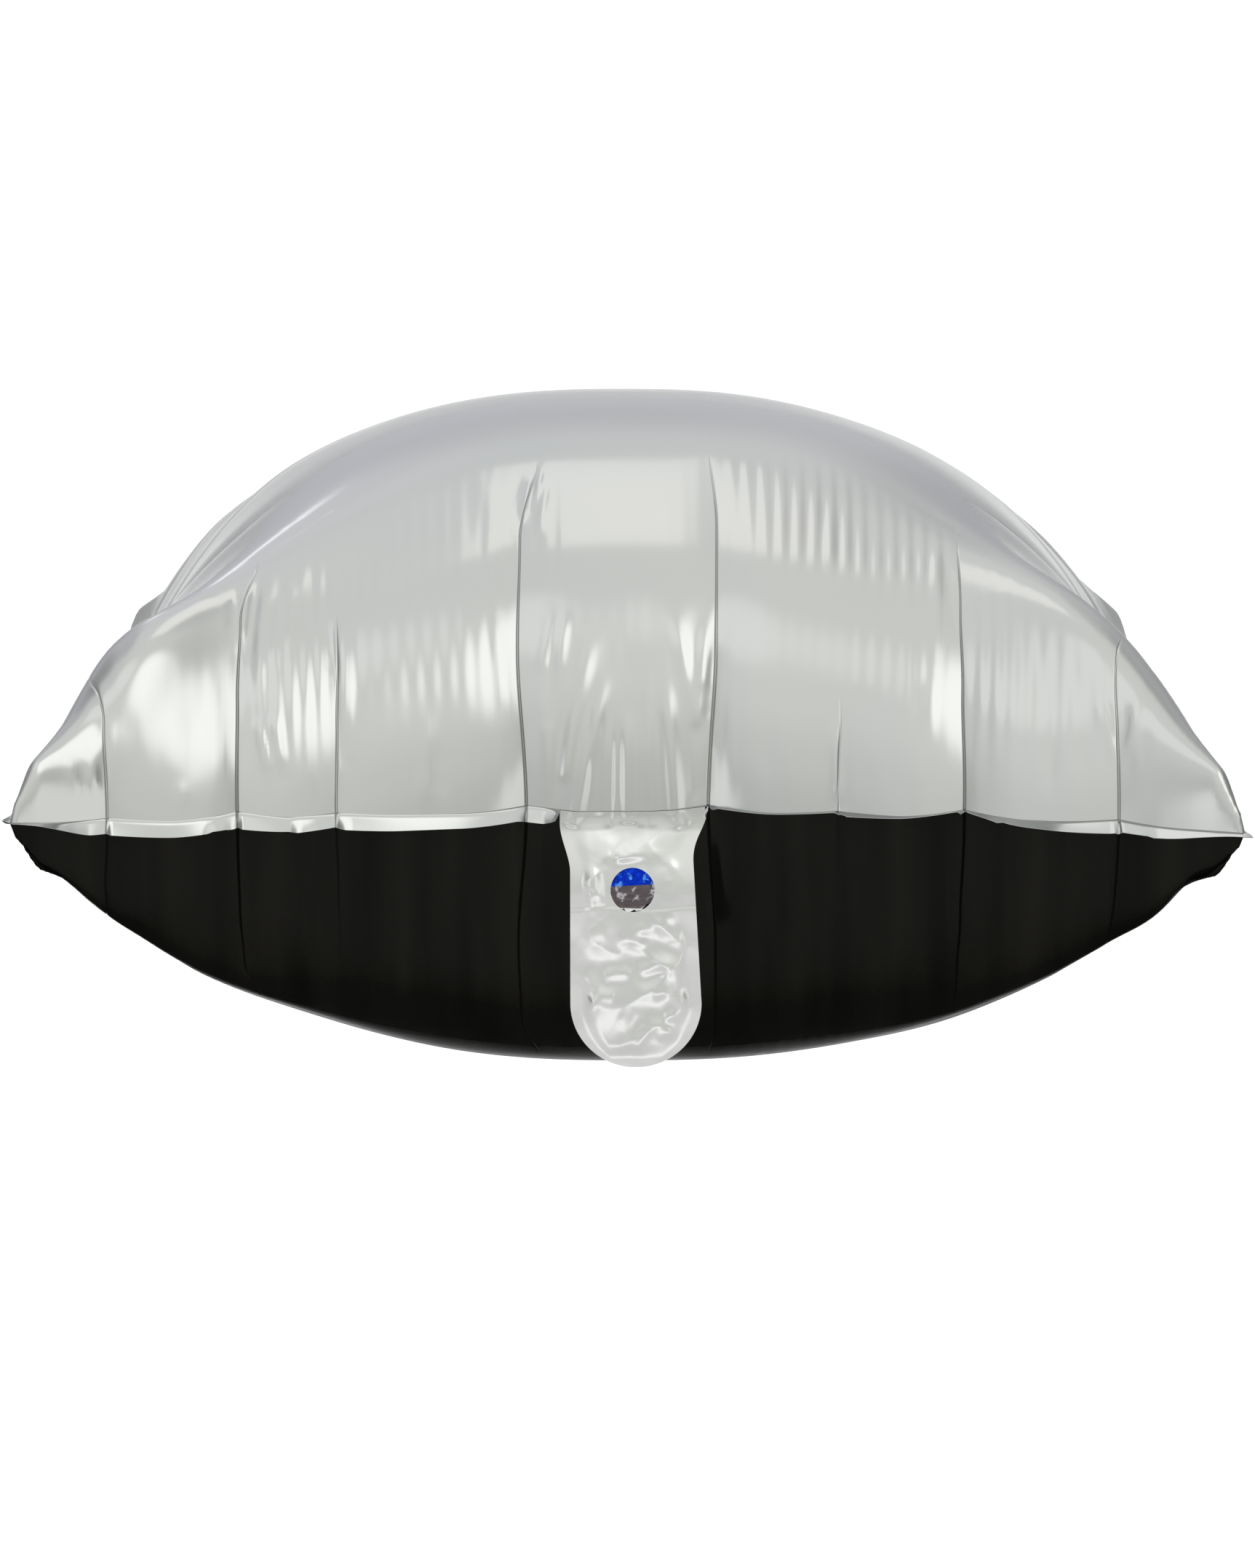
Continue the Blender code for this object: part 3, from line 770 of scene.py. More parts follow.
# The notch in the flange that the tail hangs in, and its fold line.
NOTCH_LEFT = tail_place(TAIL_X - TAIL_ROOT_HALF - TAIL_SIDE_CLEARANCE)
NOTCH_RIGHT = tail_place(TAIL_X + TAIL_ROOT_HALF + TAIL_SIDE_CLEARANCE)
NOTCH_Y = float(pillow(np.array(NOTCH_RIGHT), np.array(-1.0), BACK_HEIGHT)[1]) - MESH_GAP - NOTCH_WIDTH
FOLD_Y = NOTCH_Y - FOLD_CLEARANCE


def crowded_lines(count, places, base):
    """count + 1 grid lines from -1 to 1, spaced by a base density and crowded at places."""
    fine = np.linspace(-1.0, 1.0, FINE_LINES)
    density = base(fine)
    for place in places:
        density = density + CROWD * np.exp(-(((fine - place) / CROWD_HALF) ** 2))
    total = np.concatenate([[0.0], np.cumsum((density[1:] + density[:-1]) / 2)])
    return np.interp(np.linspace(0.0, total[-1], count + 1), total, fine)


def column_density(u):
    density = 1.0 + 0.0 * u
    for middle, half, more in COLUMN_BANDS:
        density = density + more * (np.abs(u - middle) < half)
    return density + COLUMN_ENDS_DENSITY * (np.abs(u) > COLUMN_ENDS)


def row_density(v):
    near, far = NEAR_ROWS_DENSITY * (v < NEAR_ROWS), FAR_ROWS_DENSITY * (v > FAR_ROWS)
    return 1.0 + near + far + ROW_ENDS_DENSITY * (np.abs(v) > ROW_ENDS)


def film_lines():
    near_far = [row[0] for edge in ("near", "far") for row in PLEATS[edge]]
    sides = [row[0] for edge in ("left", "right") for row in PLEATS[edge]]
    columns = crowded_lines(COLUMNS, near_far, column_density)
    rows = crowded_lines(ROWS, sides, row_density)
    return columns, rows


def noise(x, y, seed):
    """Smooth value noise from 0 to 1, with a cell of 1."""
    rng = np.random.default_rng(seed)
    table = rng.random((NOISE_CELLS, NOISE_CELLS))
    xi, yi = np.floor(x).astype(int), np.floor(y).astype(int)
    fx, fy = smooth(x - xi), smooth(y - yi)
    corners = [table[(xi + a) % NOISE_CELLS, (yi + b) % NOISE_CELLS] for a in (0, 1) for b in (0, 1)]
    low = corners[0] * (1 - fy) + corners[1] * fy
    high = corners[2] * (1 - fy) + corners[3] * fy
    return low * (1 - fx) + high * fx


def quads(columns, rows, closed=False):
    """Quads of a grid of columns by rows of points, numbered row by row within a column."""
    i, j = np.meshgrid(np.arange(columns if closed else columns - 1), np.arange(rows - 1), indexing="ij")
    here, after = i * rows + j, (i + 1) % columns * rows + j
    return np.stack([here, after, after + 1, here + 1], -1).reshape(-1, 4)


def make_piece(name, points, faces, finish, flip=False):
    mesh = bpy.data.meshes.new(name)
    faces = faces[:, ::-1] if flip else faces
    mesh.from_pydata(points.reshape(-1, 3).tolist(), [], faces.tolist())
    mesh.validate()
    mesh.shade_smooth()
    mesh.materials.append(finish)
    made = bpy.data.objects.new(name, mesh)
    bpy.context.scene.collection.objects.link(made)
    return made


def set_values(piece, name, values):
    attribute = piece.data.attributes.new(name, "FLOAT", "POINT")
    attribute.data.foreach_set("value", values.astype(np.float32).ravel())


def apply_modifiers(piece):
    depsgraph = bpy.context.evaluated_depsgraph_get()
    made = bpy.data.meshes.new_from_object(piece.evaluated_get(depsgraph))
    piece.modifiers.clear()
    piece.data = made
    made.set_sharp_from_angle(angle=SHARP_ANGLE)


def ripple_belt(u, v):
    """How strongly the film ripples at each place."""
    inward = 1.0 - outermost(u, v)
    belt = OTHER_RIPPLES * eased(outermost(u, v), *OTHER_RIPPLES_OUTER)
    belt = belt * eased(inward, *OTHER_RIPPLES_INWARD)
    patchy = noise((u + 1.0) * RIPPLE_CELLS, (v + 1.0) * RIPPLE_CELLS, RIPPLE_SEED)
    belt = belt * eased(patchy, *OTHER_RIPPLES_NOISE)
    near = NEAR_RIPPLES + 0.0 * u
    for along, half_along, middle, half_inward, strength in RIPPLE_PATCHES:
        across = smooth((1.0 - np.abs(u - along) / half_along) / PATCH_EDGE_ALONG)
        within = smooth((1.0 - np.abs(inward - middle) / half_inward) / PATCH_EDGE_INWARD)
        near = np.maximum(near, strength * across * within)
    start, run = RIPPLE_DIAGONAL
    off_diagonal = np.clip((np.abs(np.abs(u) - np.abs(v)) - start) / run, 0.0, 1.0)
    at_near_edge = (np.abs(v) > np.abs(u)) & (v < 0)
    return np.where(at_near_edge, near, belt) * off_diagonal * np.clip(inward / RIPPLE_WELD, 0.0, 1.0)


def make_panel(name, height, finish):
    columns, rows = film_lines()
    u, v = np.meshgrid(columns, rows, indexing="ij")
    u, v = follow_pleats(u, v)
    faces = quads(len(columns), len(rows))
    piece = make_piece(name, film(u, v, height), faces, finish, flip=height < 0)
    set_values(piece, "along", np.where(np.abs(v) > np.abs(u), u, v) * FILM_HALF)
    set_values(piece, "inward", (1.0 - outermost(u, v)) * FILM_HALF)
    set_values(piece, "belt", ripple_belt(u, v))
    return piece


def weld_places():
    """The weld's places as one loop, from the near left corner towards +X."""
    columns, rows = film_lines()
    loop = [(u, -1.0) for u in columns[:-1]] + [(1.0, v) for v in rows[:-1]]
    loop += [(u, 1.0) for u in columns[:0:-1]] + [(-1.0, v) for v in rows[:0:-1]]
    return follow_pleats(*np.array(loop).T)


def flange_lean(u, v):
    """How far the flange leans down at places on the weld, in radians. Beyond its slow turns
    it is folded into flat facets, each between two pleats."""
    lean = np.zeros(len(u))
    rng = np.random.default_rng(FACET_SEED)
    for edge, along, inwards in edge_views(u, v):
        table = np.array(FLANGE_LEANS[edge], float)
        slow = np.interp(along, table[:, 0], table[:, 1])
        folds = [row[0] for row in PLEATS[edge]] + list(rng.uniform(-FACET_PLACE, FACET_PLACE, FACET_FOLDS))
        folds = np.sort(np.array([-1.0] + folds + [1.0]))
        turns = rng.uniform(-1.0, 1.0, (len(folds), 2)) * FACET_TURN_DEG
        facet = np.clip(np.searchsorted(folds, along, side="right") - 1, 0, len(folds) - 2)
        length = folds[facet + 1] - folds[facet]
        share = (along - folds[facet]) / length
        turn = turns[facet, 0] * (1 - share) + turns[facet, 1] * share
        calm = np.clip(np.minimum(share, 1 - share) * length / FACET_CALM, 0, 1)
        lean = np.where(inwards == 0, slow + turn * calm, lean)
    return np.radians(lean)


def flange_width(u, v):
    """The flange's width at places on the weld: narrow at the tail and at each corner."""
    from_middle = np.abs(u - (NOTCH_LEFT + NOTCH_RIGHT) / 2)
    beyond = smooth((from_middle - (NOTCH_RIGHT - NOTCH_LEFT) / 2) / NOTCH_EASE)
    width = NOTCH_FLANGE + (FLANGE_WIDTH - NOTCH_FLANGE) * np.where(v == -1.0, beyond, 1.0)
    away = np.hypot(1.0 - np.abs(u), 1.0 - np.abs(v))
    return width - TIP_NARROWING * smooth(1.0 - away / CORNER_POINT_REACH)


def make_flange(name, side, finish):
    """One ply of the welded flange, a thin closed strip outside the weld."""
    u, v = weld_places()
    base = film(u, v, BACK_HEIGHT)
    on_side, on_end = np.abs(u) == 1, np.abs(v) == 1
    way = np.stack([np.where(on_side, np.sign(u), 0.0), np.where(on_end, np.sign(v), 0.0), 0 * u], -1)
    lean, width, drawn = flange_lean(u, v), flange_width(u, v), pleat_draw(u, v)
    out, rise = np.zeros(len(u)), np.zeros(len(u))
    near, far = PLY_GAP * side, (PLY_GAP + FLANGE_PLY) * side
    near_lines, far_lines = [], []
    for step in range(FLANGE_STEPS + 1):
        share = step / FLANGE_STEPS
        angle = lean * np.clip(share * width / FLANGE_KNEE, 0.0, 1.0)
        if step:
            out = out + width / FLANGE_STEPS * np.cos(angle)
            rise = rise - width / FLANGE_STEPS * np.sin(angle)
        line = base + way * (out + FLANGE_SLACK * share * drawn)[:, None]
        line[:, 2] += rise
        normal = way * np.sin(angle)[:, None]
        normal[:, 2] = np.cos(angle)
        near_lines.append(line + normal * near)
        far_lines.append(line + normal * far)
    points = np.stack(near_lines + far_lines[::-1] + near_lines[:1], 1)
    piece = make_piece(name, points, quads(len(u), points.shape[1], closed=True), finish, flip=side < 0)
    piece.data.set_sharp_from_angle(angle=SHARP_ANGLE)
    return piece


def tail_sides(drop):
    """The middle and the half width of the tail at a drop below its root."""
    left = TAIL_LEFT - TAIL_LEFT_SHOULDER * (1.0 - eased(drop, *TAIL_LEFT_EASE))
    widened = np.clip((drop - TAIL_RIGHT_DROP) / (TAIL_END_CENTRE - TAIL_RIGHT_DROP), 0.0, 1.0)
    shoulder = (1.0 - smooth(drop / TAIL_RIGHT_DROP)) ** TAIL_RIGHT_POWER
    right = TAIL_RIGHT + TAIL_WIDENING * widened + TAIL_RIGHT_SHOULDER * shoulder
    below = np.clip(drop - TAIL_END_CENTRE, 0.0, TAIL_END_RADIUS)
    rounded = np.sqrt(np.maximum(TAIL_END_RADIUS**2 - below**2, 0.0)) / TAIL_END_RADIUS
    return (left + right) / 2, (right - left) / 2 * rounded


def line_lift(x, drop, folds, starts_free=True):
    """How far straight folds lift a flat film. Each fades at its lower end, and at its start
    too if that is free."""
    lift = np.zeros_like(x)
    points = np.stack([x, drop], -1)
    for x0, drop0, x1, drop1, rise, half in folds:
        away, share = away_from_path(points, [np.array([x0, drop0]), np.array([x1, drop1])])
        taper = smooth((1.0 - share) / FOLD_END_SHARE)
        if starts_free:
            taper = taper * smooth(share / FOLD_END_SHARE)
        lift += rise * taper * np.exp(-((away / half) ** 2))
    return lift


def crumple(x, z, seed):
    """The relief of handled foil: faint folds in several directions and sizes."""
    rng = np.random.default_rng(seed)
    relief = np.zeros_like(x)
    for size, rise in CRUMPLE_LAYERS:
        turn = rng.uniform(0, math.pi)
        a = x * math.cos(turn) + z * math.sin(turn)
        b = -x * math.sin(turn) + z * math.cos(turn)
        a, b = a / size + CRUMPLE_PLACE[0], b / (size * CRUMPLE_LENGTH) + CRUMPLE_PLACE[1]
        value = noise(a, b, seed + int(size * 10000))
        relief += rise * (1.0 - 2.0 * np.abs(2.0 * value - 1.0))
    return relief


def seal_lift(x, drop):
    """The root seal: a shallow groove across the tail, with an arch at its middle, and the
    weld at the foot of the hole."""
    arch = np.exp(-(((x - SEAL_ARCH_X) / SEAL_ARCH_HALF) ** 2))
    seal = ROOT_SEAL_DROP - SEAL_ARCH_DROP * arch
    lift = -SEAL_GROOVE * np.exp(-(((drop - seal) / SEAL_GROOVE_HALF) ** 2))
    lift = lift + SEAL_ARCH_RISE * arch * smooth((seal - drop) / SEAL_ARCH_REACH)
    crease = ACROSS_CREASE_DROP + ACROSS_CREASE_WAVE * np.sin(x * ACROSS_CREASE_TURNS)
    step = smooth((drop - crease) / ACROSS_CREASE_WIDTH + 0.5)
    fade = smooth((crease + ACROSS_CREASE_FADE - drop) / ACROSS_CREASE_FADE)
    return lift + ACROSS_CREASE_RISE * step * fade


def tail_drops():
    """The drops of the tail's grid lines, down its straight part and round its end."""
    turn = np.radians(np.linspace(0.0, TAIL_END_DEG, TAIL_END_ROWS + 1)[1:])
    straight = np.linspace(0.0, 1.0, TAIL_ROWS) ** TAIL_ROWS_POWER * TAIL_END_CENTRE
    return np.concatenate([straight, TAIL_END_CENTRE + TAIL_END_RADIUS * np.sin(turn)])


def round_hole(x, z, drops):
    """Moves the grid lines round the filling hole so that they make a true circle, and says
    how far out of it each point of the grid is, the rim being at 1."""
    middle_i, middle_j = TAIL_COLUMNS // 2, int(np.argmin(np.abs(drops - HOLE_DROP)))
    i, j = np.meshgrid(np.arange(x.shape[0]), np.arange(x.shape[1]), indexing="ij")
    a, b = (i - middle_i) / HOLE_CELLS, (middle_j - j) / HOLE_CELLS
    ring = outermost(a, b)
    length = np.maximum(np.hypot(a, b), TINY)
    share = 1.0 - eased(ring, 1.0, HOLE_BLEND)
    x = x * (1 - share) + (HOLE_X + HOLE_RADIUS * ring * a / length) * share
    z = z * (1 - share) + (HOLE_RADIUS * ring * b / length - HOLE_DROP) * share
    return x, z, ring


def on_weld(surface, x, height):
    """Points of a surface on the near weld, at an x of the tail."""
    return surface(tail_place(x), np.full_like(x, -1.0), height)


def tail_ease(drop):
    """How far the tail has come out from the weld to its hanging plane."""
    return smooth(drop / ROOT_EASE)


def ply_relief(x, z, ring):
    """How far a ply of the tail stands off its plane, with a soft lower limit."""
    drop = -z
    middle, half = tail_sides(np.clip(drop, 0.0, TAIL_LENGTH))
    from_edge = np.minimum(half - np.abs(x - middle), TAIL_LENGTH - drop)
    pocket = smooth(from_edge / TAIL_BORDER - POCKET_INSET)
    relief = crumple(x, z, CRUMPLE_SEED) * (BORDER_CRUMPLE + (1 - BORDER_CRUMPLE) * pocket)
    relief = relief * smooth(drop / RELIEF_CALM_DROP)
    relief = relief + line_lift(x - TAIL_X, drop, TAIL_FOLDS) * (BORDER_FOLDS + (1 - BORDER_FOLDS) * pocket)
    relief = (relief + POCKET_RISE * pocket) * eased(ring, *RING_EASE) + seal_lift(x, drop)
    above = relief - RELIEF_FLOOR
    return RELIEF_FLOOR + 0.5 * (above + np.sqrt(above**2 + RELIEF_SOFTNESS**2))


def make_tail_ply(name, side, finish):
    """One ply of the tail, from the pillow's border over the weld and down. side is -1 for
    the silver ply, which faces away from the pillow, and 1 for the black ply."""
    height = BACK_HEIGHT if side < 0 else -FRONT_HEIGHT
    drops = tail_drops()
    s, drop = np.meshgrid(np.linspace(-1.0, 1.0, TAIL_COLUMNS + 1), drops, indexing="ij")
    middle, half = tail_sides(drop)
    x, z, ring = middle + s * half, -drop, np.full_like(drop, NO_RING)
    if side < 0:
        x, z, ring = round_hole(x, z, drops)
    drop = -z
    root = on_weld(film, x, height)
    ease = tail_ease(drop)
    y = root[..., 1] * (1 - ease) + FOLD_Y * ease
    y = y + side * smooth(drop / PLY_PARTING) * (PLY_FROM_FOLD + ply_relief(x, z, ring))
    if side < 0:
        folds = crease_lift(on_weld(pillow, x, height), ROOT_CREASES, height, ends_free=False)
        folds = np.maximum(folds, 0.0)
        below_weld = smooth(drop / ROOT_FOLD_JOIN)
        y = y + folds * (below_weld - ease)
        y = y - below_weld * line_lift(x - TAIL_X, drop, ROOT_FOLDS, starts_free=False)
    z = z + root[..., 2] * (1 - smooth(drop / ROOT_SEAL_DROP))
    faces = quads(x.shape[0], x.shape[1])
    faces = faces[ring.ravel()[faces].max(axis=1) > 1.0 + RIM_MARGIN]
    piece = make_piece(name, np.stack([x, y, z], -1), faces, finish, flip=side < 0)
    bm = bmesh.new()
    bm.from_mesh(piece.data)
    bmesh.ops.delete(bm, geom=[vert for vert in bm.verts if not vert.link_faces], context="VERTS")
    bm.to_mesh(piece.data)
    bm.free()
    thick = piece.modifiers.new("film", "SOLIDIFY")
    thick.thickness = FILM_THICKNESS
    thick.offset = 0
    apply_modifiers(piece)
    return piece


def make_valve(name, top, bottom, finish, seed):
    """One crumpled film of the valve, between two drops below the tail's root."""
    lines = np.linspace(0.0, 1.0, VALVE_LINES)
    s, t = np.meshgrid(np.linspace(-1.0, 1.0, VALVE_LINES), lines, indexing="ij")
    x = TAIL_X + s * VALVE_HALF
    z = -(top + (bottom - top) * t) + VALVE_TILT * s
    root_y = on_weld(pillow, x, BACK_HEIGHT)[..., 1]
    ease = tail_ease(-z)
    y = root_y * (1 - ease) + FOLD_Y * ease + crumple(x, z, seed) * VALVE_CRUMPLE
    return make_piece(name, np.stack([x, y, z], -1), quads(VALVE_LINES, VALVE_LINES), finish)


def fill(tree, made, inputs):
    """Sets inputs of a node to constants, or links sockets to them."""
    for key, value in inputs.items():
        if isinstance(value, bpy.types.NodeSocket):
            tree.links.new(value, made.inputs[key])
        else:
            made.inputs[key].default_value = value


def new_node(tree, kind, inputs, **settings):
    made = tree.nodes.new("ShaderNode" + kind)
    for key, value in settings.items():
        setattr(made, key, value)
    fill(tree, made, inputs)
    return made


def nodes_of(name):
    made = bpy.data.materials.new(name)
    made.use_nodes = True
    tree = made.node_tree
    return made, tree, tree.nodes["Principled BSDF"]


def attribute(tree, name):
    return new_node(tree, "Attribute", {}, attribute_name=name).outputs["Fac"]


def maths(tree, operation, *given):
    """A node that works out operation on sockets or values."""
    return new_node(tree, "Math", dict(enumerate(given)), operation=operation).outputs[0]


def noise_at(tree, place, scale, detail=2.0):
    inputs = {"Scale": scale, "Detail": detail, "Vector": place}
    return new_node(tree, "TexNoise", inputs).outputs["Fac"]


def object_place(tree):
    return new_node(tree, "TexCoord", {}).outputs["Object"]


def film_place(tree, along_scale, inward_scale):
    """Flat coordinates on a film, stretched along the way in from the weld."""
    along = maths(tree, "MULTIPLY", attribute(tree, "along"), along_scale)
    inward = maths(tree, "MULTIPLY", attribute(tree, "inward"), inward_scale)
    return new_node(tree, "CombineXYZ", {0: along, 1: inward}).outputs[0]


def ramp(tree, value, low, high):
    inputs = {"Value": value, "From Min": low, "From Max": high}
    return new_node(tree, "MapRange", inputs, interpolation_type="SMOOTHSTEP").outputs["Result"]


def between(tree, value, low, high):
    inputs = {"Value": value, "To Min": low, "To Max": high}
    return new_node(tree, "MapRange", inputs).outputs["Result"]


def shades(tree, value, stops, join="EASE"):
    """A colour for each value, joined between stops."""
    made = new_node(tree, "ValToRGB", {"Fac": value})
    made.color_ramp.interpolation = join
    elements = made.color_ramp.elements
    while len(elements) < len(stops):
        elements.new(0.5)
    for element, (position, colour) in zip(elements, stops):
        element.position = position
        element.color = (*colour, 1)
    return made.outputs["Color"]


def mixed(tree, kind, share, one, other):
    inputs = {"Factor": share, 6: one, 7: other}
    return new_node(tree, "Mix", inputs, data_type="RGBA", blend_type=kind).outputs[2]


def bumped(tree, height, distance):
    return new_node(tree, "Bump", {"Height": height, "Distance": distance}).outputs["Normal"]


def film_bump(tree):
    """Ripples square to the weld where the film was gathered, and much finer streaks."""
    wander = noise_at(tree, film_place(tree, 12.0, 3.0), 1.0, 1.0)
    turns = maths(tree, "MULTIPLY", attribute(tree, "along"), 2 * math.pi / RIPPLE_APART)
    turns = maths(tree, "MULTIPLY_ADD", wander, RIPPLE_WANDER, turns)
    strength = noise_at(tree, film_place(tree, 30.0, 16.0), 1.0, 1.0)
    strength = maths(tree, "MULTIPLY", strength, attribute(tree, "belt"))
    ripple = maths(tree, "MULTIPLY", maths(tree, "SINE", turns), strength)
    streak = noise_at(tree, film_place(tree, 620.0, 9.0), 1.0, 3.0)
    height = maths(tree, "MULTIPLY", ripple, RIPPLE_RISE)
    return bumped(tree, maths(tree, "MULTIPLY_ADD", streak, STREAK_RISE, height), 1.0)


def silver_film():
    made, tree, shader = nodes_of("silver_film")
    cloudy = noise_at(tree, object_place(tree), 9.0, 3.0)
    finish = {"Metallic": 1.0, "Specular Tint": (0.52, 0.52, 0.535, 1)}
    finish["Base Color"] = shades(tree, cloudy, SILVER_TINTS, "LINEAR")
    finish["Roughness"] = between(tree, cloudy, *SILVER_ROUGH)
    finish["Normal"] = film_bump(tree)
    fill(tree, shader, finish)
    return made


def black_film():
    made, tree, shader = nodes_of("black_film")
    cloudy = noise_at(tree, object_place(tree), 12.0)
    streaks = noise_at(tree, film_place(tree, 55.0, 5.0), 1.0, 3.0)
    finish = {"Metallic": 0.55, "Specular Tint": (0.32, 0.32, 0.32, 1), "Specular IOR Level": 0.0}
    finish["Base Color"] = shades(tree, streaks, BLACK_TINTS, "LINEAR")
    finish["Roughness"] = between(tree, cloudy, *BLACK_ROUGH)
    finish["Normal"] = film_bump(tree)
    fill(tree, shader, finish)
    return made


def tail_silver():
    """The silver film of the tail, which goes from the panel's tone to a paler one: painted
    brightness for the light that the tail reflects.
    """
    made, tree, shader = nodes_of("tail_silver_film")
    place = object_place(tree)
    cloudy = noise_at(tree, place, 60.0)
    height = new_node(tree, "SeparateXYZ", {"Vector": place}).outputs["Z"]
    panel = shades(tree, cloudy, TAIL_ROOT_TINTS)
    # The paler tone below the root is painted brightness on the same silver foil.
    pale = shades(tree, cloudy, TAIL_PAINTED_LIGHT_TINTS, "LINEAR")
    finish = {"Metallic": 1.0, "Normal": bumped(tree, cloudy, TAIL_BUMP)}
    finish["Base Color"] = mixed(tree, "MIX", ramp(tree, height, *TAIL_TONE_Z), panel, pale)
    finish["Roughness"] = between(tree, cloudy, *TAIL_ROUGH)
    fill(tree, shader, finish)
    return made


def valve_film(name, tints, roughness, foot=None):
    """Crinkled film in facets, its colour going by a noise from painted shade to painted glints.
    foot is a height below which it is bright.
    """
    made, tree, shader = nodes_of(name)
    place = object_place(tree)
    facets = new_node(tree, "TexVoronoi", {"Scale": VALVE_GRAIN, "Vector": place})
    # Painted shade and painted glints of the crinkles, by a noise.
    painted_glints = ramp(tree, noise_at(tree, place, VALVE_GRAIN, 4.0), *VALVE_PAINTED_GLINTS)
    colour = shades(tree, painted_glints, tints)
    if foot is not None:
        parts = new_node(tree, "SeparateXYZ", {"Vector": place}).outputs
        lean = maths(tree, "MULTIPLY_ADD", parts["X"], FOOT_LEAN, parts["Z"])
        below = ramp(tree, lean, foot + VALVE_FOOT_EDGE, foot - VALVE_FOOT_EDGE)
        colour = mixed(tree, "MIX", below, colour, shades(tree, painted_glints, VALVE_WHITES))
    crinkle = bumped(tree, facets.outputs["Distance"], VALVE_BUMP)
    finish = {"Metallic": 1.0, "Roughness": roughness, "Base Color": colour, "Normal": crinkle}
    fill(tree, shader, finish)
    return made


def stage():
    """A pale floor that bends up into a wall behind the balloon."""
    white, tree, shader = nodes_of("pale_floor")
    fill(tree, shader, {"Base Color": (0.93, 0.93, 0.93, 1), "Roughness": 0.9, "Specular IOR Level": 0.0})
    profile = [(-FLOOR_HALF, FLOOR_Z), (FLOOR_END, FLOOR_Z)]
    for k in range(1, WALL_BEND_STEPS + 1):
        turn = math.pi / 2 * k / WALL_BEND_STEPS
        out, rise = WALL_BEND * math.sin(turn), WALL_BEND * (1 - math.cos(turn))
        profile.append((FLOOR_END + out, FLOOR_Z + rise))
    profile.append((FLOOR_END + WALL_BEND, FLOOR_Z + WALL_TOP))
    points = np.array([[(x, y, z) for y, z in profile] for x in (-FLOOR_HALF, FLOOR_HALF)])
    floor = make_piece("floor", points, quads(2, len(profile)), white)


def aimed(name, data, place, aim):
    """Puts a light or the camera at place, turned towards aim."""
    made = bpy.data.objects.new(name, data)
    made.location = place
    made.rotation_euler = (Vector(aim) - Vector(place)).to_track_quat("-Z", "Y").to_euler()
    bpy.context.scene.collection.objects.link(made)
    return made


def softbox(name, place, aim, size, power, colour):
    light = bpy.data.lights.new(name, "AREA")
    light.shape = "RECTANGLE"
    light.size, light.size_y = size
    light.energy = power
    light.color = colour
    aimed(name, light, place, aim).visible_camera = False


def glow(tree, way, axis, start, full, colour):
    """A soft round light in the studio, as a colour that is black away from it."""
    inputs = {0: way, 1: Vector(axis).normalized()}
    aligned = new_node(tree, "VectorMath", inputs, operation="DOT_PRODUCT")
    share = ramp(tree, aligned.outputs["Value"], start, full)
    return shades(tree, share, ((0.0, (0.0, 0.0, 0.0)), (1.0, colour)))


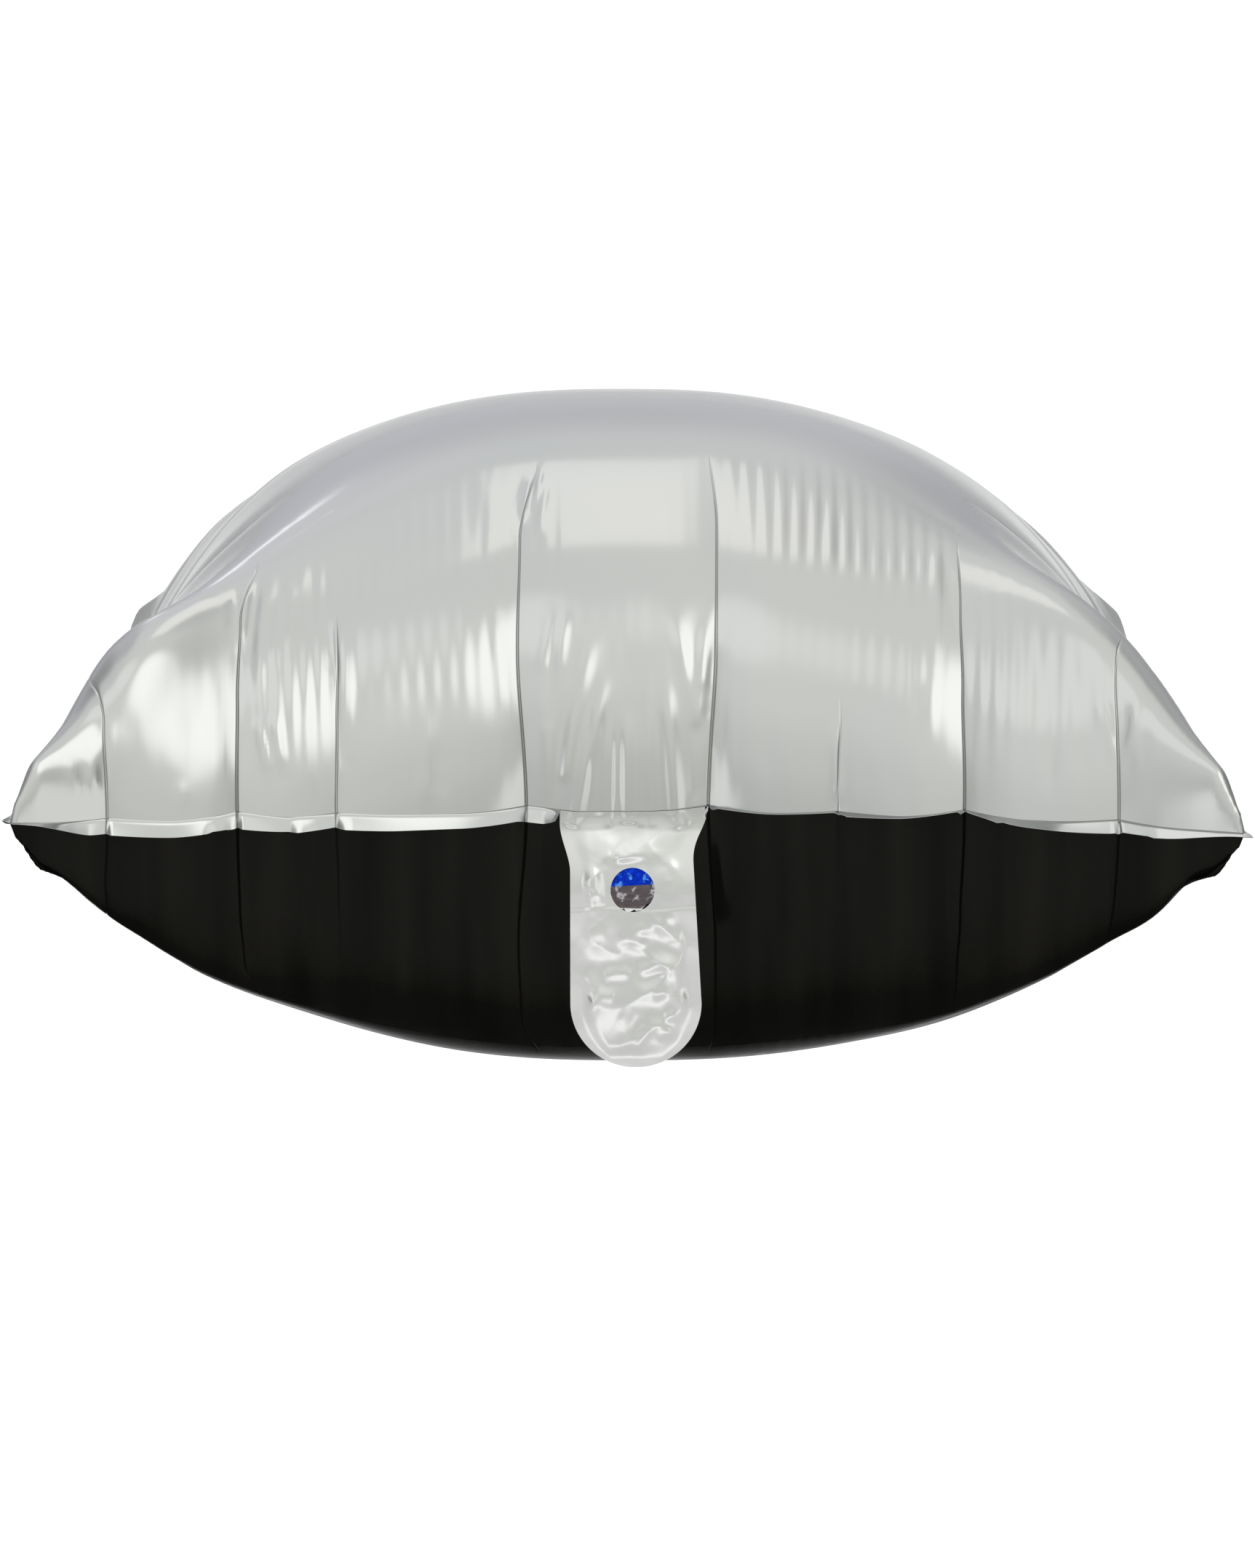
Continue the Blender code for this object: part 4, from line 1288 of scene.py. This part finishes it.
def lights():
    """A pale studio, dimmer at its sides, with soft lights overhead, in front, behind, on the
    floor and on the wall."""
    world = bpy.data.worlds.new("studio")
    bpy.context.scene.world = world
    world.use_nodes = True
    tree = world.node_tree
    way = new_node(tree, "TexCoord", {}).outputs["Generated"]
    parts = new_node(tree, "SeparateXYZ", {"Vector": way}).outputs
    side = maths(tree, "MULTIPLY_ADD", parts["X"], 0.5, 0.5)
    front = shades(tree, parts["Z"], STUDIO_FRONT)
    back = shades(tree, parts["Z"], STUDIO_BACK)
    back = mixed(tree, "MULTIPLY", 1.0, back, shades(tree, side, STUDIO_BACK_SIDES))
    colour = mixed(tree, "MIX", ramp(tree, parts["Y"], -STUDIO_TURN, STUDIO_TURN), front, back)
    colour = mixed(tree, "MULTIPLY", 1.0, colour, shades(tree, side, STUDIO_SIDES))
    for axis, start, full, tint in STUDIO_GLOWS:
        colour = mixed(tree, "ADD", 1.0, colour, glow(tree, way, axis, start, full, tint))
    fill(tree, tree.nodes["Background"], {"Color": colour, "Strength": STUDIO_GAIN})
    for name, place, aim, size, brightness, tint in SOFT_LIGHTS:
        softbox(name, place, aim, size, brightness * math.pi * size[0] * size[1], tint)
    bpy.context.scene.view_settings.view_transform = "Standard"


def camera():
    rise = math.radians(CAMERA_RISE_DEG)
    data = bpy.data.cameras.new("camera")
    data.lens = CAMERA_LENS
    data.sensor_width = CAMERA_SENSOR
    place = (0.0, -CAMERA_AWAY * math.cos(rise), CAMERA_AWAY * math.sin(rise))
    aim = (0.0, -AIM_BELOW * math.sin(rise), -AIM_BELOW * math.cos(rise))
    bpy.context.scene.camera = aimed("camera", data, place, aim)


def main():
    camera()
    stage()
    lights()
    silver, black, tail = silver_film(), black_film(), tail_silver()
    for make, name, given, finish, node, slot in (
        (make_panel, "back_panel_film", BACK_HEIGHT, silver, "back_panel", "silver_foil"),
        (make_panel, "front_panel_film", -FRONT_HEIGHT, black, "front_panel", "black_foil"),
        (make_flange, "back_flange_film", 1.0, silver, "back_seal_flange", "silver_foil"),
        (make_flange, "front_flange_film", -1.0, black, "front_seal_flange", "black_foil"),
    ):
        piece = make(name, given, finish)
        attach(piece, "envelope")
        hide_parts(node)
    for name, side, finish, node, slot in (
        ("tail_back_film", -1.0, tail, "tail_back_ply", "silver_foil"),
        ("tail_front_film", 1.0, black, "tail_front_ply", "black_foil"),
    ):
        piece = make_tail_ply(name, side, finish)
        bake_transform(piece)
        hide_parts(node)
    blue = valve_film("valve_blue", VALVE_BLUES, 0.22)
    grey = valve_film("valve_grey", VALVE_GREYS, 0.14, foot=VALVE_FOOT)
    for name, top, bottom, finish, node, slot, seed in (
        ("valve_blue_crumpled", *BLUE_DROPS, blue, "valve_blue_film", "valve_blue", BLUE_SEED),
        ("valve_grey_crumpled", *GREY_DROPS, grey, "valve_clear_film", "valve_clear", GREY_SEED),
    ):
        piece = make_valve(name, top, bottom, finish, seed)
        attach(piece, "tail")
        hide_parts(node)


main()
